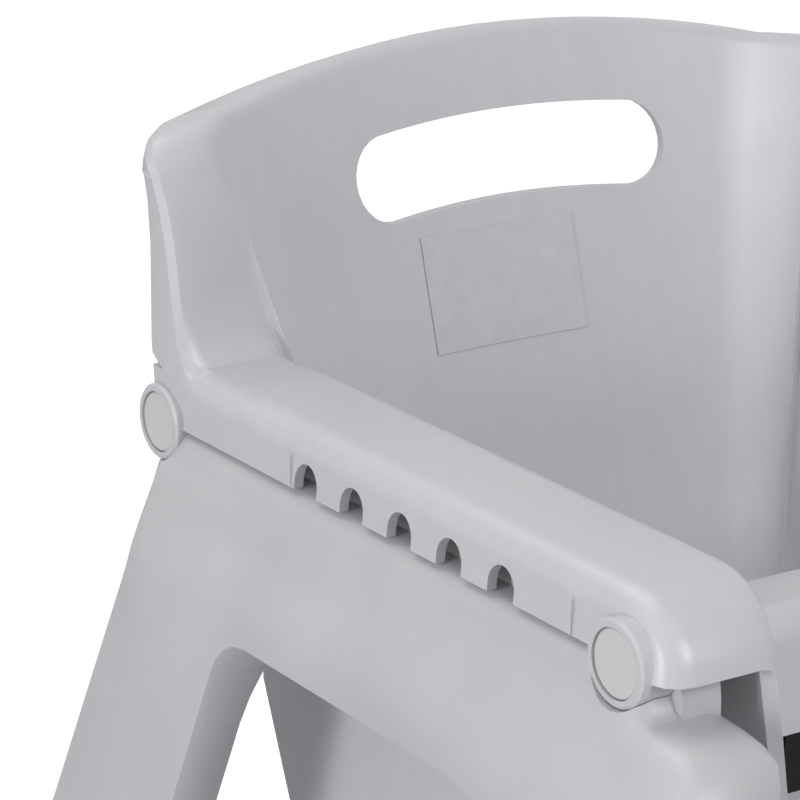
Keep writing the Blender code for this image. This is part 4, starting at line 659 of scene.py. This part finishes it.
def buildRibTree():
    tree, source, result = newGroup(
        "gripRibs", "GeometryNodeTree",
        (("Geometry", "NodeSocketGeometry", None), ("Radius", "NodeSocketFloat", 0.0005),
         ("Finish", "NodeSocketMaterial", None)),
        (("Geometry", "NodeSocketGeometry"),))
    toCurve = addNode(tree, "GeometryNodeMeshToCurve", (-600, 0))
    ring = addNode(tree, "GeometryNodeCurvePrimitiveCircle", (-600, -200))
    ring.inputs["Resolution"].default_value = 12
    sweep = addNode(tree, "GeometryNodeCurveToMesh", (-400, 0))
    sweep.inputs["Fill Caps"].default_value = True
    real = addNode(tree, "GeometryNodeRealizeInstances", (-200, 0))
    paint = addNode(tree, "GeometryNodeSetMaterial", (0, 0))
    link = tree.links.new
    link(source.outputs["Geometry"], toCurve.inputs[0])
    link(toCurve.outputs[0], sweep.inputs["Curve"])
    link(source.outputs["Radius"], ring.inputs["Radius"])
    link(ring.outputs[0], sweep.inputs["Profile Curve"])
    link(sweep.outputs[0], real.inputs[0])
    link(real.outputs[0], paint.inputs["Geometry"])
    link(source.outputs["Finish"], paint.inputs["Material"])
    link(paint.outputs[0], result.inputs[0])
    return tree


gripRibs = {"count": 5, "pitch": 0.0026, "radius": 0.0005, "inset": 0.002}
buttonLow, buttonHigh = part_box("buckle_button")
middle = (buttonLow[2] + buttonHigh[2]) / 2
ribEnds = (buttonLow[0] + gripRibs["inset"], buttonHigh[0] - gripRibs["inset"])
ribLines = []
for i in range(gripRibs["count"]):
    z = middle + (i - (gripRibs["count"] - 1) / 2) * gripRibs["pitch"]
    ribLines.append([Vector((x, buttonLow[1], z)) for x in ribEnds])
ribs = treePiece("buttonRibs", ribLines, buildRibTree(), {"Radius": gripRibs["radius"], "Finish": buckleResin})
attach(ribs, "buckle_button")
print("button ribs added")


# pale floor, white surroundings, three soft lamps and the camera of the photo

studio = {
    "floorSize": 30.0,
    "floorColour": (0.60, 0.60, 0.61),
    "shadowShare": 0.7,
    "glow": 2.9,
    "ambient": 0.4,
}


def buildFloor():
    mesh = bpy.data.meshes.new("studioFloor")
    half = studio["floorSize"] / 2
    corners = [(-half, -half, 0), (half, -half, 0), (half, half, 0), (-half, half, 0)]
    mesh.from_pydata(corners, [], [(0, 1, 2, 3)])
    floor = bpy.data.objects.new("studioFloor", mesh)
    scene.collection.objects.link(floor)
    made = bpy.data.materials.new("studioFloor")
    made.use_nodes = True
    tree = made.node_tree
    shader = tree.nodes["Principled BSDF"]
    shader.inputs["Base Color"].default_value = (*studio["floorColour"], 1)
    shader.inputs["Roughness"].default_value = 0.9
    shader.inputs["Specular IOR Level"].default_value = 0.0
    glow = addNode(tree, "ShaderNodeEmission", (0, -300))
    glow.inputs["Strength"].default_value = studio["glow"]
    rays = addNode(tree, "ShaderNodeLightPath", (-500, 300))
    share = addNode(tree, "ShaderNodeMath", (-250, 300), operation="MULTIPLY")
    share.inputs[1].default_value = 1 - studio["shadowShare"]
    both = addNode(tree, "ShaderNodeMixShader", (300, 100))
    tree.links.new(rays.outputs["Is Camera Ray"], share.inputs[0])
    tree.links.new(share.outputs[0], both.inputs[0])
    tree.links.new(shader.outputs[0], both.inputs[1])
    tree.links.new(glow.outputs[0], both.inputs[2])
    tree.links.new(both.outputs[0], tree.nodes["Material Output"].inputs["Surface"])
    mesh.materials.append(made)


def buildWorld():
    world = bpy.data.worlds.new("studioWorld")
    scene.world = world
    world.use_nodes = True
    tree = world.node_tree
    soft = tree.nodes["Background"]
    soft.inputs["Color"].default_value = (1, 1, 1, 1)
    soft.inputs["Strength"].default_value = studio["ambient"]
    seen = addNode(tree, "ShaderNodeBackground", (0, -200))
    seen.inputs["Strength"].default_value = 1.0
    rays = addNode(tree, "ShaderNodeLightPath", (-400, 300))
    seenOrMirrored = addNode(tree, "ShaderNodeMath", (-150, 300), operation="MAXIMUM")
    anyShown = addNode(tree, "ShaderNodeMath", (0, 300), operation="MAXIMUM")
    both = addNode(tree, "ShaderNodeMixShader", (200, 0))
    tree.links.new(rays.outputs["Is Camera Ray"], seenOrMirrored.inputs[0])
    tree.links.new(rays.outputs["Is Glossy Ray"], seenOrMirrored.inputs[1])
    tree.links.new(seenOrMirrored.outputs[0], anyShown.inputs[0])
    tree.links.new(rays.outputs["Is Transmission Ray"], anyShown.inputs[1])
    tree.links.new(anyShown.outputs[0], both.inputs[0])
    tree.links.new(soft.outputs[0], both.inputs[1])
    tree.links.new(seen.outputs[0], both.inputs[2])
    tree.links.new(both.outputs[0], tree.nodes["World Output"].inputs["Surface"])


lampTable = (  # name, place, width and height, watts
    ("sidePanel", (-2.3, -0.45, 0.75), (0.5, 1.5), 22.5),
    ("topPanel", (-0.35, 1.1, 3.1), (1.5, 1.8), 24.0),
    ("frontPanel", (0.4, -3.0, 2.4), (1.2, 1.5), 47.0),
)
aimPoint = Vector((0, 0, 0.6))
for lampName, lampPlace, lampSize, watts in lampTable:
    lamp = bpy.data.lights.new(lampName, "AREA")
    lamp.shape = "RECTANGLE"
    lamp.size, lamp.size_y = lampSize
    lamp.energy = watts
    lampObject = bpy.data.objects.new(lampName, lamp)
    lampObject.location = lampPlace
    lampObject.rotation_euler = (aimPoint - Vector(lampPlace)).to_track_quat("-Z", "Y").to_euler()
    scene.collection.objects.link(lampObject)
buildFloor()
buildWorld()

viewpoint = {
    "place": (-0.79904, -1.00608, 1.03184),
    "pitch": 72.46,
    "heading": -32.92,
    "lens": 151.5,
}
camera = bpy.data.objects.new("studioCamera", bpy.data.cameras.new("studioCamera"))
camera.data.lens = viewpoint["lens"]
camera.data.sensor_width = 36.0
camera.data.clip_end = 100.0
camera.location = viewpoint["place"]
camera.rotation_euler = (math.radians(viewpoint["pitch"]), 0, math.radians(viewpoint["heading"]))
scene.collection.objects.link(camera)
scene.camera = camera
print("stage, lamps and camera set")
